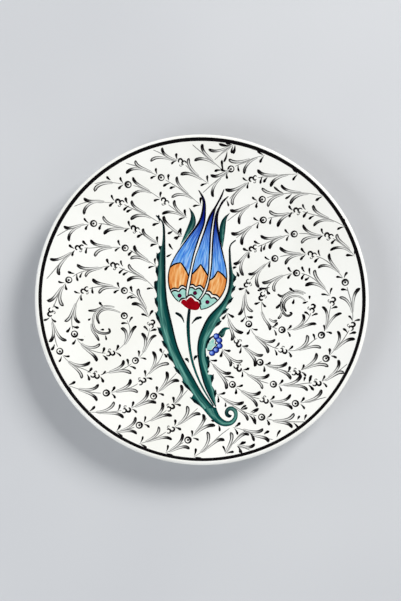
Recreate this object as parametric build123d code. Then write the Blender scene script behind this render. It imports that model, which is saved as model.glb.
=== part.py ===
from build123d import *
import math
import os

# Hand painted footed plate: a thrown clay dish with a turned foot ring, glazed
# front and back, painted with a tulip, two toothed leaves and spiral scrollwork.
# Millimetres.  The plate lies on its foot ring, painted face up (+Z), the
# tulip's tips towards +Y.  Origin: centre of the foot ring's resting plane.

os.makedirs("parts", exist_ok=True)

# ---------------------------------------------------------------- dimensions
PLATE_R = 150.0            # outer radius of the glazed lip
FACE_SPHERE_R = 600.0      # the painted face is a shallow spherical dish
FACE_Z = 12.0              # glazed face above the table at the centre
GLAZE_T = 0.4              # glaze thickness, front and back
CENTRE_T = 7.0             # glazed face to bare underside at the centre
RIM_T = 5.0                # the same near the lip
LIP_START_R = 147.2        # where the face ends and the round lip begins
BACK_EDGE_R = 146.8        # where the lip ends on the back
FOOT_OUTER_R = 81.0        # foot ring where it leaves the underside
FOOT_INNER_R = 75.0
FOOT_CHAMFER = 0.8
HANG_HOLE_R = 1.5          # two radial cord holes through the foot ring
HANG_HOLE_Z = 5.0
HANG_HOLE_HALF_ANGLE = 13.4  # each side of +Y, degrees
BAND_R = 145.0             # middle of the black band at the rim
BAND_W = 2.95

WASH_T = 0.2               # colour washes, laid on the glaze
LINE_T = 0.1               # black line work, laid on the washes
SCROLL_T = 0.25            # scroll strokes, laid on the glaze

STEM_W = 0.9               # scroll stem
LEAF_HEAD_W = 1.8          # long comma leaf at its head
LEAF_TAIL_W = 0.5
LEAF_BACK = 17.0           # along the stem, from a leaf's head back to its root
LEAF_HOOK = 5.5            # length of the outward hook at a leaf's head
TICK_W = 1.2               # short comma at its widest
FLOWER_GAP = 4.3           # bare stem each side of a flower
ROSETTE_R = 2.8
TREFOIL_R = 2.0

FACE_CENTRE_Z = FACE_Z + FACE_SPHERE_R
BACK_CENTRE_DEPTH = FACE_Z - CENTRE_T


# ------------------------------------------------------------ face geometry
def face_height(r, below=0.0):
    """Height of the glazed face at radius r, or of a sphere that far below it."""
    radius = FACE_SPHERE_R + below
    return FACE_CENTRE_Z - math.sqrt(radius * radius - r * r)


BACK_EDGE_Z = face_height(BACK_EDGE_R) - RIM_T
BACK_RISE = BACK_EDGE_Z - BACK_CENTRE_DEPTH
BACK_SPHERE_R = (BACK_EDGE_R ** 2 + BACK_RISE ** 2) / (2 * BACK_RISE)


def back_height(r, below=0.0):
    """Height of the bare underside at radius r, or of a sphere that far below it."""
    radius = BACK_SPHERE_R + below
    return BACK_CENTRE_DEPTH + BACK_SPHERE_R - math.sqrt(radius * radius - r * r)


def meridian(height, below, r_start, r_end):
    """Arc of a face or back sphere in the XZ plane, between two radii."""
    points = [(r, 0, height(r, below)) for r in (r_start, (r_start + r_end) / 2, r_end)]
    return ThreePointArc(*points)


def turned(edges):
    """Solid of revolution about the plate's axis from a closed XZ profile."""
    return revolve(make_face(edges), Axis.Z)


def face_layer(bottom, top):
    """Shell between two heights above the glazed face, its poles and seam far from the plate."""
    shell = Sphere(FACE_SPHERE_R - bottom) - Sphere(FACE_SPHERE_R - top)
    return Pos(0, 0, FACE_CENTRE_Z) * Rot(90, 0, 0) * shell


WASH_LAYER = face_layer(0, WASH_T)
LINE_LAYER = face_layer(WASH_T, WASH_T + LINE_T)
SCROLL_LAYER = face_layer(0, SCROLL_T)
LAYER_REACH = 45.0         # taller than the plate, for prisms that cut a layer


def laid(outline, layer):
    """Paint of a flat outline, bent to lie on the dished face."""
    return (extrude(outline, LAYER_REACH) & layer).solids()


def pressed(outline, x, y):
    """Small dab of paint whose outline is drawn about (0, 0), laid flat at (x, y)."""
    z = face_height(math.hypot(x, y))
    rise = FACE_CENTRE_Z - z
    place = Plane(origin=(x, y, z), x_dir=(rise, 0, x), z_dir=(-x, -y, rise))
    return extrude(place * outline, SCROLL_T, dir=place.z_dir).solids()


def save(node, solids):
    """Write one node's solids as its own STEP file."""
    solids = list(solids)
    shape = solids[0] if len(solids) == 1 else Compound(children=solids)
    shape.label = node
    export_step(shape, f"parts/{node}.step")


# ---------------------------------------------------------------- the pottery
def lip(offset):
    """Half-round lip from the face to the back, at a distance inside the glaze."""
    start = Vector(LIP_START_R, 0, face_height(LIP_START_R, offset))
    end = Vector(BACK_EDGE_R, 0, back_height(BACK_EDGE_R, GLAZE_T - offset))
    middle = Vector(PLATE_R - offset, 0, (start.Z + end.Z) / 2)
    return ThreePointArc(start, middle, end)


def make_clay_body():
    """Bare clay dish without its foot ring."""
    top = meridian(face_height, GLAZE_T, 0, LIP_START_R)
    edge = lip(GLAZE_T)
    under = meridian(back_height, 0, BACK_EDGE_R, 0)
    return turned([top, edge, under, Line(under @ 1, top @ 0)])


def make_foot_ring():
    """Foot ring with a rounded standing edge and its two cord holes."""
    seat = meridian(back_height, 0, FOOT_INNER_R, FOOT_OUTER_R)
    low_outer = (FOOT_OUTER_R - FOOT_CHAMFER, 0, 0)
    low_inner = (FOOT_INNER_R + FOOT_CHAMFER, 0, 0)
    ring = turned([
        seat,
        Line(seat @ 1, (FOOT_OUTER_R, 0, FOOT_CHAMFER)),
        Line((FOOT_OUTER_R, 0, FOOT_CHAMFER), low_outer),
        Line(low_outer, low_inner),
        Line(low_inner, (FOOT_INNER_R, 0, FOOT_CHAMFER)),
        Line((FOOT_INNER_R, 0, FOOT_CHAMFER), seat @ 0),
    ])
    for side in (-1, 1):
        heading = math.radians(90 + side * HANG_HOLE_HALF_ANGLE)
        outward = (math.cos(heading), math.sin(heading), 0)
        place = Plane(origin=(0, 0, HANG_HOLE_Z), z_dir=outward)
        ring -= place * Cylinder(HANG_HOLE_R, PLATE_R, align=(Align.CENTER, Align.CENTER, Align.MIN))
    return ring


def make_face_glaze():
    """Clear white glaze over the face and round the lip."""
    top = meridian(face_height, 0, 0, LIP_START_R)
    outer_lip = lip(0)
    inner_lip = lip(GLAZE_T)
    under = meridian(face_height, GLAZE_T, LIP_START_R, 0)
    return turned([
        top,
        outer_lip,
        Line(outer_lip @ 1, inner_lip @ 1),
        ThreePointArc(inner_lip @ 1, inner_lip @ 0.5, inner_lip @ 0),
        under,
        Line(under @ 1, top @ 0),
    ])


def make_back_glaze(r_start, r_end):
    """Glaze on the underside between two radii."""
    inner = meridian(back_height, 0, r_start, r_end)
    outer = meridian(back_height, GLAZE_T, r_end, r_start)
    return turned([inner, Line(inner @ 1, outer @ 0), outer, Line(outer @ 1, inner @ 0)])


def make_rim_band():
    """Black band painted round the rim."""
    inner, outer = BAND_R - BAND_W / 2, BAND_R + BAND_W / 2
    low = meridian(face_height, 0, inner, outer)
    high = meridian(face_height, -SCROLL_T, outer, inner)
    return turned([low, Line(low @ 1, high @ 0), high, Line(high @ 1, low @ 0)])


# ------------------------------------------------------------- brush outlines
def blend(values, t):
    """Value at t from 0 to 1 along an evenly spaced list."""
    place = t * (len(values) - 1)
    i = min(int(place), len(values) - 2)
    return values[i] + (values[i + 1] - values[i]) * (place - i)


def brush(points, widths, side=0.0, stations=6):
    """Outline of one brush stroke; side -1 or 1 lays it wholly right or left of its path."""
    spine = Spline(*points) if len(points) > 2 else Line(*points)
    left, right = [], []
    for i in range(stations):
        t = i / (stations - 1)
        at, along, width = spine @ t, spine % t, blend(widths, t)
        across = Vector(-along.Y, along.X)
        left.append(at + across * width * (1 + side) / 2)
        right.append(at - across * width * (1 - side) / 2)
    return make_face([
        Spline(*left),
        Line(left[-1], right[-1]),
        Spline(*right[::-1]),
        Line(right[0], left[0]),
    ])


def between(left, right):
    """Outline between two edges that both run from the tip to the base."""
    edges = [Spline(*left), Spline(*right)]
    for a, b in ((left[0], right[0]), (left[-1], right[-1])):
        if a != b:
            edges.append(Line(a, b))
    return make_face(edges)


def scallops(arcs, floor, overhang):
    """Everything below a row of three-point arcs, down to the level floor and out past its ends."""
    edges = []
    for arc in arcs:
        if edges and edges[-1] @ 1 != Vector(*arc[0]):
            edges.append(Line(edges[-1] @ 1, arc[0]))
        edges.append(ThreePointArc(*arc))
    start, end = edges[0] @ 0, edges[-1] @ 1
    left, right = start.X - overhang, end.X + overhang
    corners = [end, (right, end.Y), (right, floor), (left, floor), (left, start.Y), start]
    if overhang == 0:
        corners = [end, (right, floor), (left, floor), start]
    edges.append(Polyline(*corners))
    return make_face(edges)


# ------------------------------------------------------------------ the tulip
LEFT_PETAL = {
    "outer": [(-3.5, 99.5), (0.5, 91), (0.3, 80), (-3, 70), (-9.3, 61), (-17.3, 50), (-24, 40),
              (-28.8, 30), (-30.7, 20), (-29.6, 10), (-24, 0), (-21.5, -2.4)],
    "inner": [(-3.5, 99.5), (1.6, 92), (2.5, 80), (1.5, 70), (-1.8, 60), (-5.2, 50), (-8, 40),
              (-10, 30), (-12, 20), (-14.3, 8), (-14.2, -0.6)],
    "blue_to_amber": [((-32, 25), (-26, 31.3), (-19.3, 33.3)), ((-19.3, 33.3), (-15, 27), (-11, 17.5))],
    "amber_foot": [((-30.5, 6), (-26, 9.6), (-21.6, 9.1)), ((-21.6, 9.1), (-18.5, 12.2), (-13, 9.2))],
    "turquoise_top": [((-30, 3.5), (-25, 7.7), (-21.1, 6.4)), ((-21.1, 6.4), (-18, 9.5), (-13, 6.6))],
}
CENTRE_PETAL = {
    "outer": [(20, 100.5), (16, 91.5), (12, 84), (8.5, 78), (5.2, 70), (2.6, 62), (0, 55), (-2.6, 47.5),
              (-5.5, 40), (-7.8, 32), (-9.5, 24), (-10.8, 15), (-12.6, 7), (-13.4, 1.2)],
    "inner": [(20, 100.5), (17, 92), (14, 86), (11.3, 78), (9.6, 70), (8.2, 62), (7.5, 54), (7, 45),
              (6.4, 35), (6, 25), (4.6, 17), (2.2, 9.5), (-0.5, 3.5), (-3.6, -0.6)],
    "blue_to_amber": [((-10.5, 21.5), (-5, 27), (-1.3, 32)), ((-1.3, 32), (2, 27), (6.5, 19.5))],
    "amber_foot": [((-13, 10.5), (-8.5, 13.3), (-5.5, 11)), ((-5.5, 11), (-2.5, 12.5), (2.6, 7.5))],
    "turquoise_top": [((-13.5, 8), (-9.5, 10.6), (-6, 8.4)), ((-6, 8.4), (-3, 10), (1.2, 5.5))],
}
RIGHT_PETAL = {
    "outer": [(24, 94), (17.6, 86.5), (14.6, 80), (13.6, 70), (15, 60), (17, 50), (19.3, 40),
              (21.6, 30), (22.6, 20), (21, 10), (17, 2), (10, -5), (4, -8.4), (-1, -9.6)],
    "inner": [(24, 94), (18.5, 89.5), (15.3, 84.8), (12.9, 80), (11, 70), (10.1, 60), (9.6, 50), (9.2, 40),
              (8.6, 30), (7.2, 20), (4.9, 10), (1.8, 3.5), (-1.5, -1.5), (-1, -9.6)],
    "blue_to_amber": [((6.4, 17), (9.6, 19), (14.2, 25.9)), ((14.2, 25.9), (18.3, 23), (24, 15.5))],
    "amber_foot": [((3, 6.8), (6.4, 7.2), (9.6, 4)), ((9.6, 4), (12, 4), (17, 0))],
    "turquoise_top": [((2, 4.8), (5.4, 4.4), (8.2, 0.6)), ((8.2, 0.6), (11, 1.2), (15, -3))],
}
PETAL_FLOOR = -20.0
SCALLOP_OVERHANG = 10.0    # past a petal's edges, so that no sliver is left beside them
PETAL_DOTS = [(-20.4, 2.9), (-6.4, 5.4), (4.9, -2.8)]
PETAL_DOT_R = 2.0

HEART_LOBES = [((-19.3, -3.6), (-17.6, -0.7), (-14.2, -1.4)), ((-14.2, -1.4), (-10.2, 1.7), (-6.4, -1.9)),
               ((-6.4, -1.9), (-3.4, -2.7), (-2.0, -6))]
HEART_FOOT = [(-2.0, -6), (-3.0, -9.2), (-9, -10), (-14.8, -7.6), (-19.3, -3.6)]
HEART_BORDER = [[(-21, -3.2), (-18.6, 0.0), (-15.2, 0.6)], [(-15.2, 0.6), (-10.2, 3.7), (-5.2, 0)],
                [(-5.2, 0), (-2.4, -1.4), (-0.8, -5.4)]]

LEFT_SEPAL = ([(-12.3, 83.8), (-10.4, 77), (-12.2, 69), (-15, 62), (-18, 54.5), (-20.2, 48.2)],
              [(-12.3, 83.8), (-8.4, 79.5), (-6, 73.5), (-6.1, 68), (-9.9, 62), (-14.8, 55.3), (-20.2, 48.2)])
RIGHT_SEPAL = ([(25.7, 79.2), (20, 75), (16.6, 68.5), (15.8, 61), (17.2, 53), (18.8, 46.5)],
               [(25.7, 79.2), (22.8, 74.5), (21.6, 67), (20.6, 58), (18.8, 46.5)])

TULIP_STEM = ([(-12.3, -10.3), (-14, -20), (-13.6, -35), (-11.6, -50), (-7.5, -65), (-1, -80), (9.4, -97.6)],
              [(-10.3, -10.3), (-10.9, -20), (-10.7, -35), (-9.2, -50), (-5.4, -65), (0.8, -80), (10.6, -97.2)])
STEM_SPRIGS = [[(-24.3, -12.7), (-19, -16), (-16.2, -22)], [(0, -16.8), (-4.5, -17.8), (-9.3, -23)],
               [(-15.6, -55), (-13.4, -55.6), (-12.2, -58.5)], [(-4.2, -52), (-6, -53.2), (-7.2, -56.5)]]
SPRIG_WIDTHS = [2.2, 1.8, 0.5]


def make_petal(name, petal):
    """One petal's three washes: blue tip, amber middle and turquoise foot."""
    whole = between(petal["outer"], petal["inner"])
    below_blue, below_amber, turquoise = [
        scallops(petal[edge], PETAL_FLOOR, SCALLOP_OVERHANG)
        for edge in ("blue_to_amber", "amber_foot", "turquoise_top")
    ]
    heart = scallops(HEART_BORDER, PETAL_FLOOR, 0)
    save(f"{name}_petal_blue", laid(whole - below_blue, WASH_LAYER))
    save(f"{name}_petal_amber", laid((whole & below_blue) - below_amber, WASH_LAYER))
    save(f"{name}_petal_turquoise", laid((whole & turquoise) - heart, WASH_LAYER))


def make_petal_outlines():
    """Black brush lines just inside the petals' edges, broad at the tips."""
    widths = [0.4, 2.2, 2.4, 1.6, 0.9, 0.7, 0.6]
    strokes = []
    for petal in (LEFT_PETAL, CENTRE_PETAL, RIGHT_PETAL):
        strokes += laid(brush(petal["outer"], widths, side=1, stations=10), LINE_LAYER)
        strokes += laid(brush(petal["inner"][1:], [0.5, 0.7, 0.6], side=-1, stations=9), LINE_LAYER)
    return strokes


def make_scallop_lines():
    """Black lines along the colour changes and over the red heart."""
    strokes = []
    for petal in (LEFT_PETAL, CENTRE_PETAL, RIGHT_PETAL):
        for boundary in ("blue_to_amber", "amber_foot", "turquoise_top"):
            for arc in petal[boundary]:
                strokes += laid(brush(arc, [0.5, 0.9, 0.5]), LINE_LAYER)
    for arc in HEART_BORDER:
        strokes += laid(brush(arc, [0.5, 0.9, 0.5]), LINE_LAYER)
    return strokes


def make_heart():
    """Red three-lobed heart at the foot of the flower."""
    edges = [ThreePointArc(*arc) for arc in HEART_LOBES] + [Spline(*HEART_FOOT)]
    return laid(make_face(edges), WASH_LAYER)


# ----------------------------------------------------------------- the leaves
# Toothed edges run tip, notch, tip, notch: each tooth stands out past the edge.
LEFT_LEAF_TIP = [(-42, 76.5), (-37.4, 71), (-36, 63), (-36.2, 54), (-36.8, 48.5)]
LEFT_LEAF_TEETH = [(-36.8, 48.5), (-38.4, 48.2), (-38.3, 43), (-40.3, 41.5), (-40, 31), (-41, 29), (-40.5, 17),
                   (-42.5, 15), (-41, 2), (-42, 0.3), (-40, -11), (-41.5, -13), (-37.3, -26.3),
                   (-39.3, -26.6), (-34.8, -38.4), (-35.5, -39), (-30.3, -49), (-30.7, -50.7),
                   (-24.6, -61.2), (-24.5, -62.7), (-17.8, -72.5), (-17.3, -75.8), (-8, -87.5),
                   (-10, -90.3), (0, -99.5)]
LEFT_LEAF_INNER = [(-42, 76.5), (-35.8, 70.5), (-33.6, 58), (-33.3, 40), (-33, 18), (-31, -5), (-26.5, -25),
                   (-21.3, -45), (-14.3, -60), (-6, -75), (2, -88.5), (10.5, -98.5)]

RIGHT_LEAF_TIP = [(30.5, 54.5), (27, 51), (26.2, 43), (26.6, 35), (28.2, 24)]
RIGHT_LEAF_TEETH = [(28.2, 24), (30.4, 21), (28.2, 13), (29.7, 11.5), (26.3, 3.5), (27.6, 1), (21.5, -8),
                    (23.2, -9.2), (16, -17), (17, -20.3), (10.5, -28), (6.2, -36.2), (3.4, -45.6),
                    (3.8, -52.5), (7.2, -57.3), (5, -66), (5.2, -69), (9.2, -69.3), (8.6, -79),
                    (11.2, -83.3), (11.6, -92), (12.4, -98)]
RIGHT_LEAF_INNER = [(30.5, 54.5), (25.8, 50.5), (24.3, 42), (24.6, 26), (23.4, 8.5), (16, -5), (6.5, -15),
                    (0.8, -25), (-3, -35), (-4.3, -50), (-2.4, -63), (2.2, -80), (11.6, -98.5)]

CURL_OUTER = [(0, -99.5), (7, -108), (14, -114), (21, -115.8), (28, -113.2), (31.5, -106), (29, -99),
              (23.6, -98.2), (20, -102.5), (21.3, -107), (25, -107.8), (26.4, -105.8)]
CURL_INNER = [(26.4, -105.8), (24, -104.9), (23.2, -103.4), (25, -101.6), (27.7, -103.4), (27.4, -108),
              (23, -111), (17.5, -108.6), (13.8, -103), (12.4, -98.7)]

LEAF_SHADE_WIDTHS = [0.5, 1.6, 2.0, 1.6, 1.2]


def make_leaf(tip, teeth, inner):
    """Leaf with a drawn-out tip, a toothed outer edge and a smooth inner edge."""
    edges = [Spline(*tip), Polyline(*teeth), Spline(*inner)]
    if teeth[-1] != inner[-1]:
        edges.append(Line(teeth[-1], inner[-1]))
    return laid(make_face(edges), WASH_LAYER)


def make_base_curl():
    """Foot of the left leaf, wound into a tight curl."""
    edges = [Spline(*CURL_OUTER), Spline(*CURL_INNER), Line(CURL_INNER[-1], CURL_OUTER[0])]
    return laid(make_face(edges), WASH_LAYER)


def make_leaf_shading(teeth, inner, side):
    """Dark brush strokes: one down the smooth edge and a dab on every tooth."""
    strokes = laid(brush(inner, LEAF_SHADE_WIDTHS, side=side, stations=11), LINE_LAYER)
    for tip, notch in zip(teeth[1::2], teeth[2::2]):
        inset = 0.35 * side
        path = [(tip[0] - inset, tip[1] - 0.2), (notch[0] - 1.2 * inset, (tip[1] + notch[1]) / 2)]
        strokes += laid(brush(path, [0.5, 1.1], stations=3), LINE_LAYER)
    return strokes


# ---------------------------------------------------------------- the blossom
BEADS = [(13, -34.2), (15.6, -38), (15.9, -43), (12.7, -46.8), (9.1, -49.5)]
BEAD_R = 2.55
CORE = [(9.6, -36.2), (11.3, -38.9), (10.6, -40.2), (12.3, -41.8), (10, -43.8), (8.4, -46.3), (4.2, -46.1),
        (5.6, -41.5), (9.6, -36.2)]
BLOSSOM_ARC = [(11, -33.7), (6.6, -37), (4.5, -41), (3.8, -45.4)]
LEAFLET = [(14.6, -31.7), (18, -27.5), (22, -25.9), (26, -27.3), (22.5, -28.2), (20.5, -32.5), (18, -35.4),
           (14.6, -31.7)]


def make_beads():
    """Row of round blue berries, touching each other."""
    outline = Sketch()
    for x, y in BEADS:
        outline += Pos(x, y) * Circle(BEAD_R)
    return laid(outline, WASH_LAYER)


# ------------------------------------------------------------- the scrollwork
def rosette(x, y):
    return ("rosette", x, y)


def trefoil(x, y):
    return ("trefoil", x, y)


R, T = rosette, trefoil

# Each vine: its stem from root to tip with the flowers it passes, then the heads
# of its long comma leaves.
LEFT_VINES = [
    ([(-42.5, 8.5), (-47.7, 14), (-53.7, 18.9), (-61.5, 22.5), (-70, 25.5), T(-79.5, 29), (-89, 28),
      (-98.5, 25.5), (-110.5, 22), R(-120, 15), (-128, 4), (-132, -7), T(-135, -15), (-133, -26), (-131, -39),
      R(-126.8, -49.7), (-121, -57), (-112, -63), (-103, -66.5), T(-95, -70.5), (-84, -68), (-73, -65.5),
      R(-60, -57), (-53, -49.5), (-50, -40), (-48, -31), T(-46, -23)],
     [(-66.2, 31.2), (-67.9, 15), (-113, 29.5), (-105, 18), (-139, -4.3), (-124.2, -8.8), (-136.5, -41.5),
      (-120.8, -39.6), (-100, -58.5), (-107.5, -74), (-71, -56.5), (-63.5, -69), (-55, -32), (-41, -34)]),
    ([(-48, -18), (-51.7, -8.4), (-57, -1.3), (-63, 4), R(-70.3, 6.7), (-80, 9.8), (-91, 10),
      T(-105.5, 5.5), (-113.5, -7), (-116.9, -20), R(-114.3, -33.8), (-107.8, -43.2), (-97, -49),
      T(-82, -50), (-70, -42), (-65, -29), R(-70.2, -16.4)],
     [(-57.3, 8.9), (-63.8, -6), (-99, 17), (-92.8, 3.2), (-123.3, -22.6), (-109.3, -23.3), (-91.8, -41.8),
      (-94.3, -58.5), (-73.5, -28), (-59, -25.5)]),
    ([(-41.5, 29.5), (-50, 35), (-60, 40.5), R(-69.9, 45.6), (-80, 46), (-91.7, 46), (-102, 44.5),
      T(-111, 44), (-117, 40.5), (-126, 32), (-134, 22), (-139.5, 15)],
     [(-61.2, 48.5), (-65.2, 35.6), (-101, 52.3), (-97, 36.8), (-137, 33.5), (-128, 19)]),
    ([(-39.5, 49.5), (-46, 53.5), (-53, 57.5), T(-61.5, 62.8), (-72, 63.7), (-84, 66), R(-98.4, 66.9),
      (-108, 65), (-119, 61.5), (-131, 54)],
     [(-53.4, 64), (-89.9, 74), (-89.1, 57.2), (-125, 63.5), (-120, 50)]),
    ([(-38, 69), (-45, 73), (-55, 78.5), (-66, 82.5), T(-75.5, 86.5), (-85, 86.3), (-96, 87), (-106, 85.5),
      (-116, 81.5)],
     [(-64, 89), (-65.1, 71.2), (-107.3, 89.7), (-107, 74.5)]),
    ([(-13.8, 74.3), (-20, 78), (-27, 83), T(-34.5, 88.5), (-44, 95), (-54, 100), R(-67.5, 103),
      (-78, 104), (-90, 104.5), (-98, 102.5)],
     [(-25, 90.3), (-36.7, 77), (-63.2, 110), (-64.2, 92.2), (-97.5, 95.5)]),
    ([(-0.6, 85.3), (-9.2, 92.4), (-18, 99), (-28, 105), R(-37.5, 110.1), (-47, 114.5), (-58, 119),
      (-69.7, 122)],
     [(-23, 111.5), (-28, 92.2), (-61, 124.9), (-69.3, 112.6)]),
    ([(6, 105), (-3.1, 111.3), (-11, 117.5), T(-19, 124), (-28, 126.5), (-37.3, 131.3), (-45, 134.5)],
     [(-12.2, 128), (-20, 112.8), (-36.6, 137), (-47.3, 124.2)]),
    ([(19, 117), (12.5, 122.5), (5, 128.5), (-2, 134), (-9.3, 140)],
     [(0.3, 140.7), (-7.4, 125.5)]),
    ([(-18, 57), (-26, 62.5), (-33.5, 68.5)], [(-34.5, 75.8)]),
    ([(-119.5, -80), (-109, -83.5), (-98, -86), R(-85.5, -86.5), (-74, -84.5), (-63, -81), T(-54, -75),
      (-46, -66), (-39.5, -58.5), (-34, -47)],
     [(-92.5, -78.5), (-93.5, -94), (-64.5, -73.5), (-57.5, -86), (-45, -48.5), (-29.5, -60)]),
    ([(-101, -103.5), (-90, -104), (-78, -103), T(-67.5, -101), (-57, -97), (-49, -93), R(-43.5, -89),
      (-36, -82), (-29, -74.5), (-23, -68)],
     [(-78.5, -94), (-70, -109), (-49.5, -83.5), (-41, -95.5), (-32.5, -66.5), (-20.5, -75.5)]),
    ([(-77, -121), (-67, -119), R(-56, -115), (-46, -110.5), (-37, -105.5), T(-28.5, -98.5), (-20, -91),
      (-13, -83)],
     [(-59.5, -107.5), (-58, -123), (-36, -94.5), (-27, -107), (-19.5, -78.5)]),
    ([(-56, -131.5), (-48, -129), (-38, -124.5), T(-28.5, -118.5), (-20, -113.5), (-11, -106), (-4, -99.5)],
     [(-39, -116), (-27, -128), (-14, -97.5), (-1.5, -105.5)]),
    ([(-33, -139.5), (-26, -136), (-19.5, -131.5), R(-13, -128), (-6, -121.5), (0, -114.5), (4, -108)],
     [(-18, -122), (-11.5, -136), (0, -105), (11.5, -115.3)]),
]
RIGHT_VINES = [
    ([(22.5, -12), (24, -19), (26.5, -27), (29.5, -34), T(32.8, -40), (40, -46), (46, -52), R(52, -58),
      (60, -61.5), (71, -65), T(84, -67), (94, -63), (103, -59.5), R(110.5, -55.3), (118, -48), (125, -40),
      (130, -32.5), T(133.5, -26), (135, -15), (134, -5), (131.5, 5), R(129, 13.5), (124, 22), (117, 30),
      (109, 36), T(99.5, 39.5)],
     [(37.5, -30.5), (26, -38), (55, -50.8), (47, -62), (76, -58), (79, -74), (102, -50), (112.5, -63),
      (121, -30.5), (136.5, -38.5), (123.5, 0), (142, 8), (115.5, 40.5), (105, 27.3)]),
    ([(95, 40.3), (85, 40.6), (75, 39.4), R(66.5, 37), (58, 31.5), (50, 24.5), (46, 20), T(41.8, 14),
      (39, 4), (38.5, -6), (39.2, -15), R(42.3, -22.8), (46, -31), (54, -38.5), (63, -44), T(73, -47),
      (84, -47.5), (94, -43.5), (101, -38), R(107, -34), (112, -25), (114.5, -14), T(117, -3)],
     [(71, 47.5), (76, 31), (42, 23.5), (52, 10.5), (32.5, -14.5), (46.5, -11.3), (66, -37), (59, -50),
      (106.5, -46), (94, -33.5), (108, -8), (125.5, -14.5)]),
    ([(115.5, 1.5), (112.5, 6), (107, 12.5), (98, 19.8), R(86, 23.3), (76, 21.7), (66, 17.5), (59, 10.5),
      T(55, 2), (54, -8), (56, -17), (62.5, -25), R(72, -28.5), (83, -28), (92, -23), (97.5, -15.5),
      T(99, -9)],
     [(102.5, 26), (93.5, 11), (54.5, 15.5), (66.5, 6.5), (61, -29), (90.5, -14.5), (103, -24)]),
    ([(28.5, 140), (22, 136), (16.5, 131.5), (11, 126.5)], [(5.5, 136.3)]),
    ([(57, 130.5), (47, 128), (37, 124), R(26.3, 118.6), (20, 113.5), (13, 108), (7, 103), (0.5, 97)],
     [(24, 127.5), (38.5, 114), (7.5, 113.5), (10.3, 93.3)]),
    ([(88, 113), (74, 112.8), (60, 111.5), T(46.5, 109), (38, 103.5), (31, 98), (25, 91.5)],
     [(50.5, 118), (62.5, 102), (21, 100.5), (28.5, 86)]),
    ([(110, 92.5), (99, 95), (87, 96.3), (75, 95.8), (65, 94), R(55, 91), (46, 87), (37, 82), (30, 77),
      (23, 71.5)],
     [(72, 104), (80.5, 86), (54.5, 101.5), (60.3, 84), (25.5, 82), (34.5, 68.5)]),
    ([(130, 64), (120, 69.5), (108, 74.3), (98, 77), T(87, 79.8), (76, 76.8), (66, 75), R(56, 72.3),
      (47, 68), (38, 61.5), (31, 56)],
     [(101, 85), (101.3, 65.5), (61.5, 81), (69, 65.5), (26.5, 61), (37, 49.5)]),
    ([(137.5, 37), (131, 45), (123, 51), T(114.5, 56), (105, 57), (95, 59), R(84, 59), (74, 57.2),
      (65, 54), (56, 50), T(46.8, 46), (40, 40.5), (34, 34.5), (28.5, 27)],
     [(122.5, 58), (116, 43), (91.8, 67.5), (90.5, 50), (53.5, 58.5), (62, 45.5), (28.5, 33), (38, 21.5)]),
    ([(18, -45.5), (21.5, -51), (26, -57), T(32.5, -62.5), (40, -68), (48, -73), (56, -76.3), R(63.5, -78),
      (74, -79), (85, -78.5), (94, -77.3), T(102, -77), (112, -73), (121, -67), (129, -60.5)],
     [(36.5, -56), (25, -62), (60, -68.5), (53.5, -82.5), (88, -69), (93.5, -84.5), (121, -56.5),
      (126, -69)]),
    ([(6, -55.5), (12, -63), (19, -71), R(27, -78), (36, -84.5), (45, -89.5), T(55.5, -92), (65, -94.3),
      (74, -95.2), R(82.5, -95.5), (92, -94.3), (101, -92.3), (110, -90)],
     [(26, -67), (21, -82.5), (52, -84), (48.5, -98.5), (78.5, -87), (79.5, -101), (105.5, -83)]),
    ([(13, -86.5), (21, -92.5), (30, -98.5), (40, -104), R(52.5, -107.5), (63, -110.5), (76, -111.8),
      (91, -112)],
     [(37, -93.5), (40, -111), (81, -104), (79, -117.5)]),
    ([(27, -116.5), (36, -119), (46, -123.5), (62, -127.5)], [(53.5, -117.5), (58, -130)]),
    ([(20, -140.5), (24, -134), (29, -128), (34, -122.5), (39, -119.5)], [(24.5, -121), (41, -124)]),
    ([(30.5, -132), (36, -134.5), (42, -137)], [(46, -131)]),
    ([(-8, -143), (1, -137), (9, -130), (16, -123.5), (24, -117.5)], [(4, -120.5), (19.5, -128.5)]),
]

# Leaves wound into the two spiral centres, head first.
LEFT_CURLS = [
    [(-84.3, -27.8), (-83, -30.8), (-89.3, -32.7), (-96.4, -29), (-98.1, -21.3), (-95.2, -13), (-89.2, -9.8)],
    [(-92.3, -24.2), (-94.4, -17.5), (-90.5, -12), (-81.5, -10.9), (-73.7, -13.5)],
    [(-102.7, -12.3), (-95.8, -11.7), (-88.6, -8.3), (-79, -8.5)],
    [(-92.6, -39.8), (-94, -36.5), (-98.8, -29.5), (-99.6, -24)],
]
RIGHT_CURLS = [
    [(79, -12.8), (81, -13.5), (78.5, -15.7), (74.5, -14), (71.8, -7), (73.5, 0.5), (78, 3.6), (85, 5.5),
     (92, 3.5)],
    [(76.3, -12), (74, -6), (77, -0.5), (83, 2.2), (89, 1.3), (93.5, -2.5)],
    [(68.5, 4.3), (72, 2.2), (78, 5), (86, 7), (94, 4.5)],
    [(68.5, -18.5), (70.7, -16.3), (72.4, -11)],
    [(67.8, -19.5), (65.5, -20.8), (60.5, -18)],
]


class Vine:
    """One scroll stem as a smooth curve, with its flowers and leaf heads."""

    def __init__(self, route, leaf_heads):
        self.spine = Spline(*[(item[-2], item[-1]) for item in route])
        self.length = self.spine.length
        self.flowers = [item for item in route if len(item) == 3]
        self.leaf_heads = leaf_heads

    def frame_at(self, distance):
        """Point, growth direction and left-hand direction at a distance along the stem."""
        t = min(max(distance / self.length, 0), 1)
        at, along = self.spine @ t, self.spine % t
        return at, along, Vector(-along.Y, along.X)

    def distance_to(self, x, y):
        """Distance along the stem of the point nearest to (x, y)."""
        return self.spine.param_at_point(closest_point(self.spine, x, y)) * self.length


def closest_point(edge, x, y):
    """Point of an edge that is nearest to (x, y)."""
    return edge.distance_to_with_closest_points(Vector(x, y, 0))[1]


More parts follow.
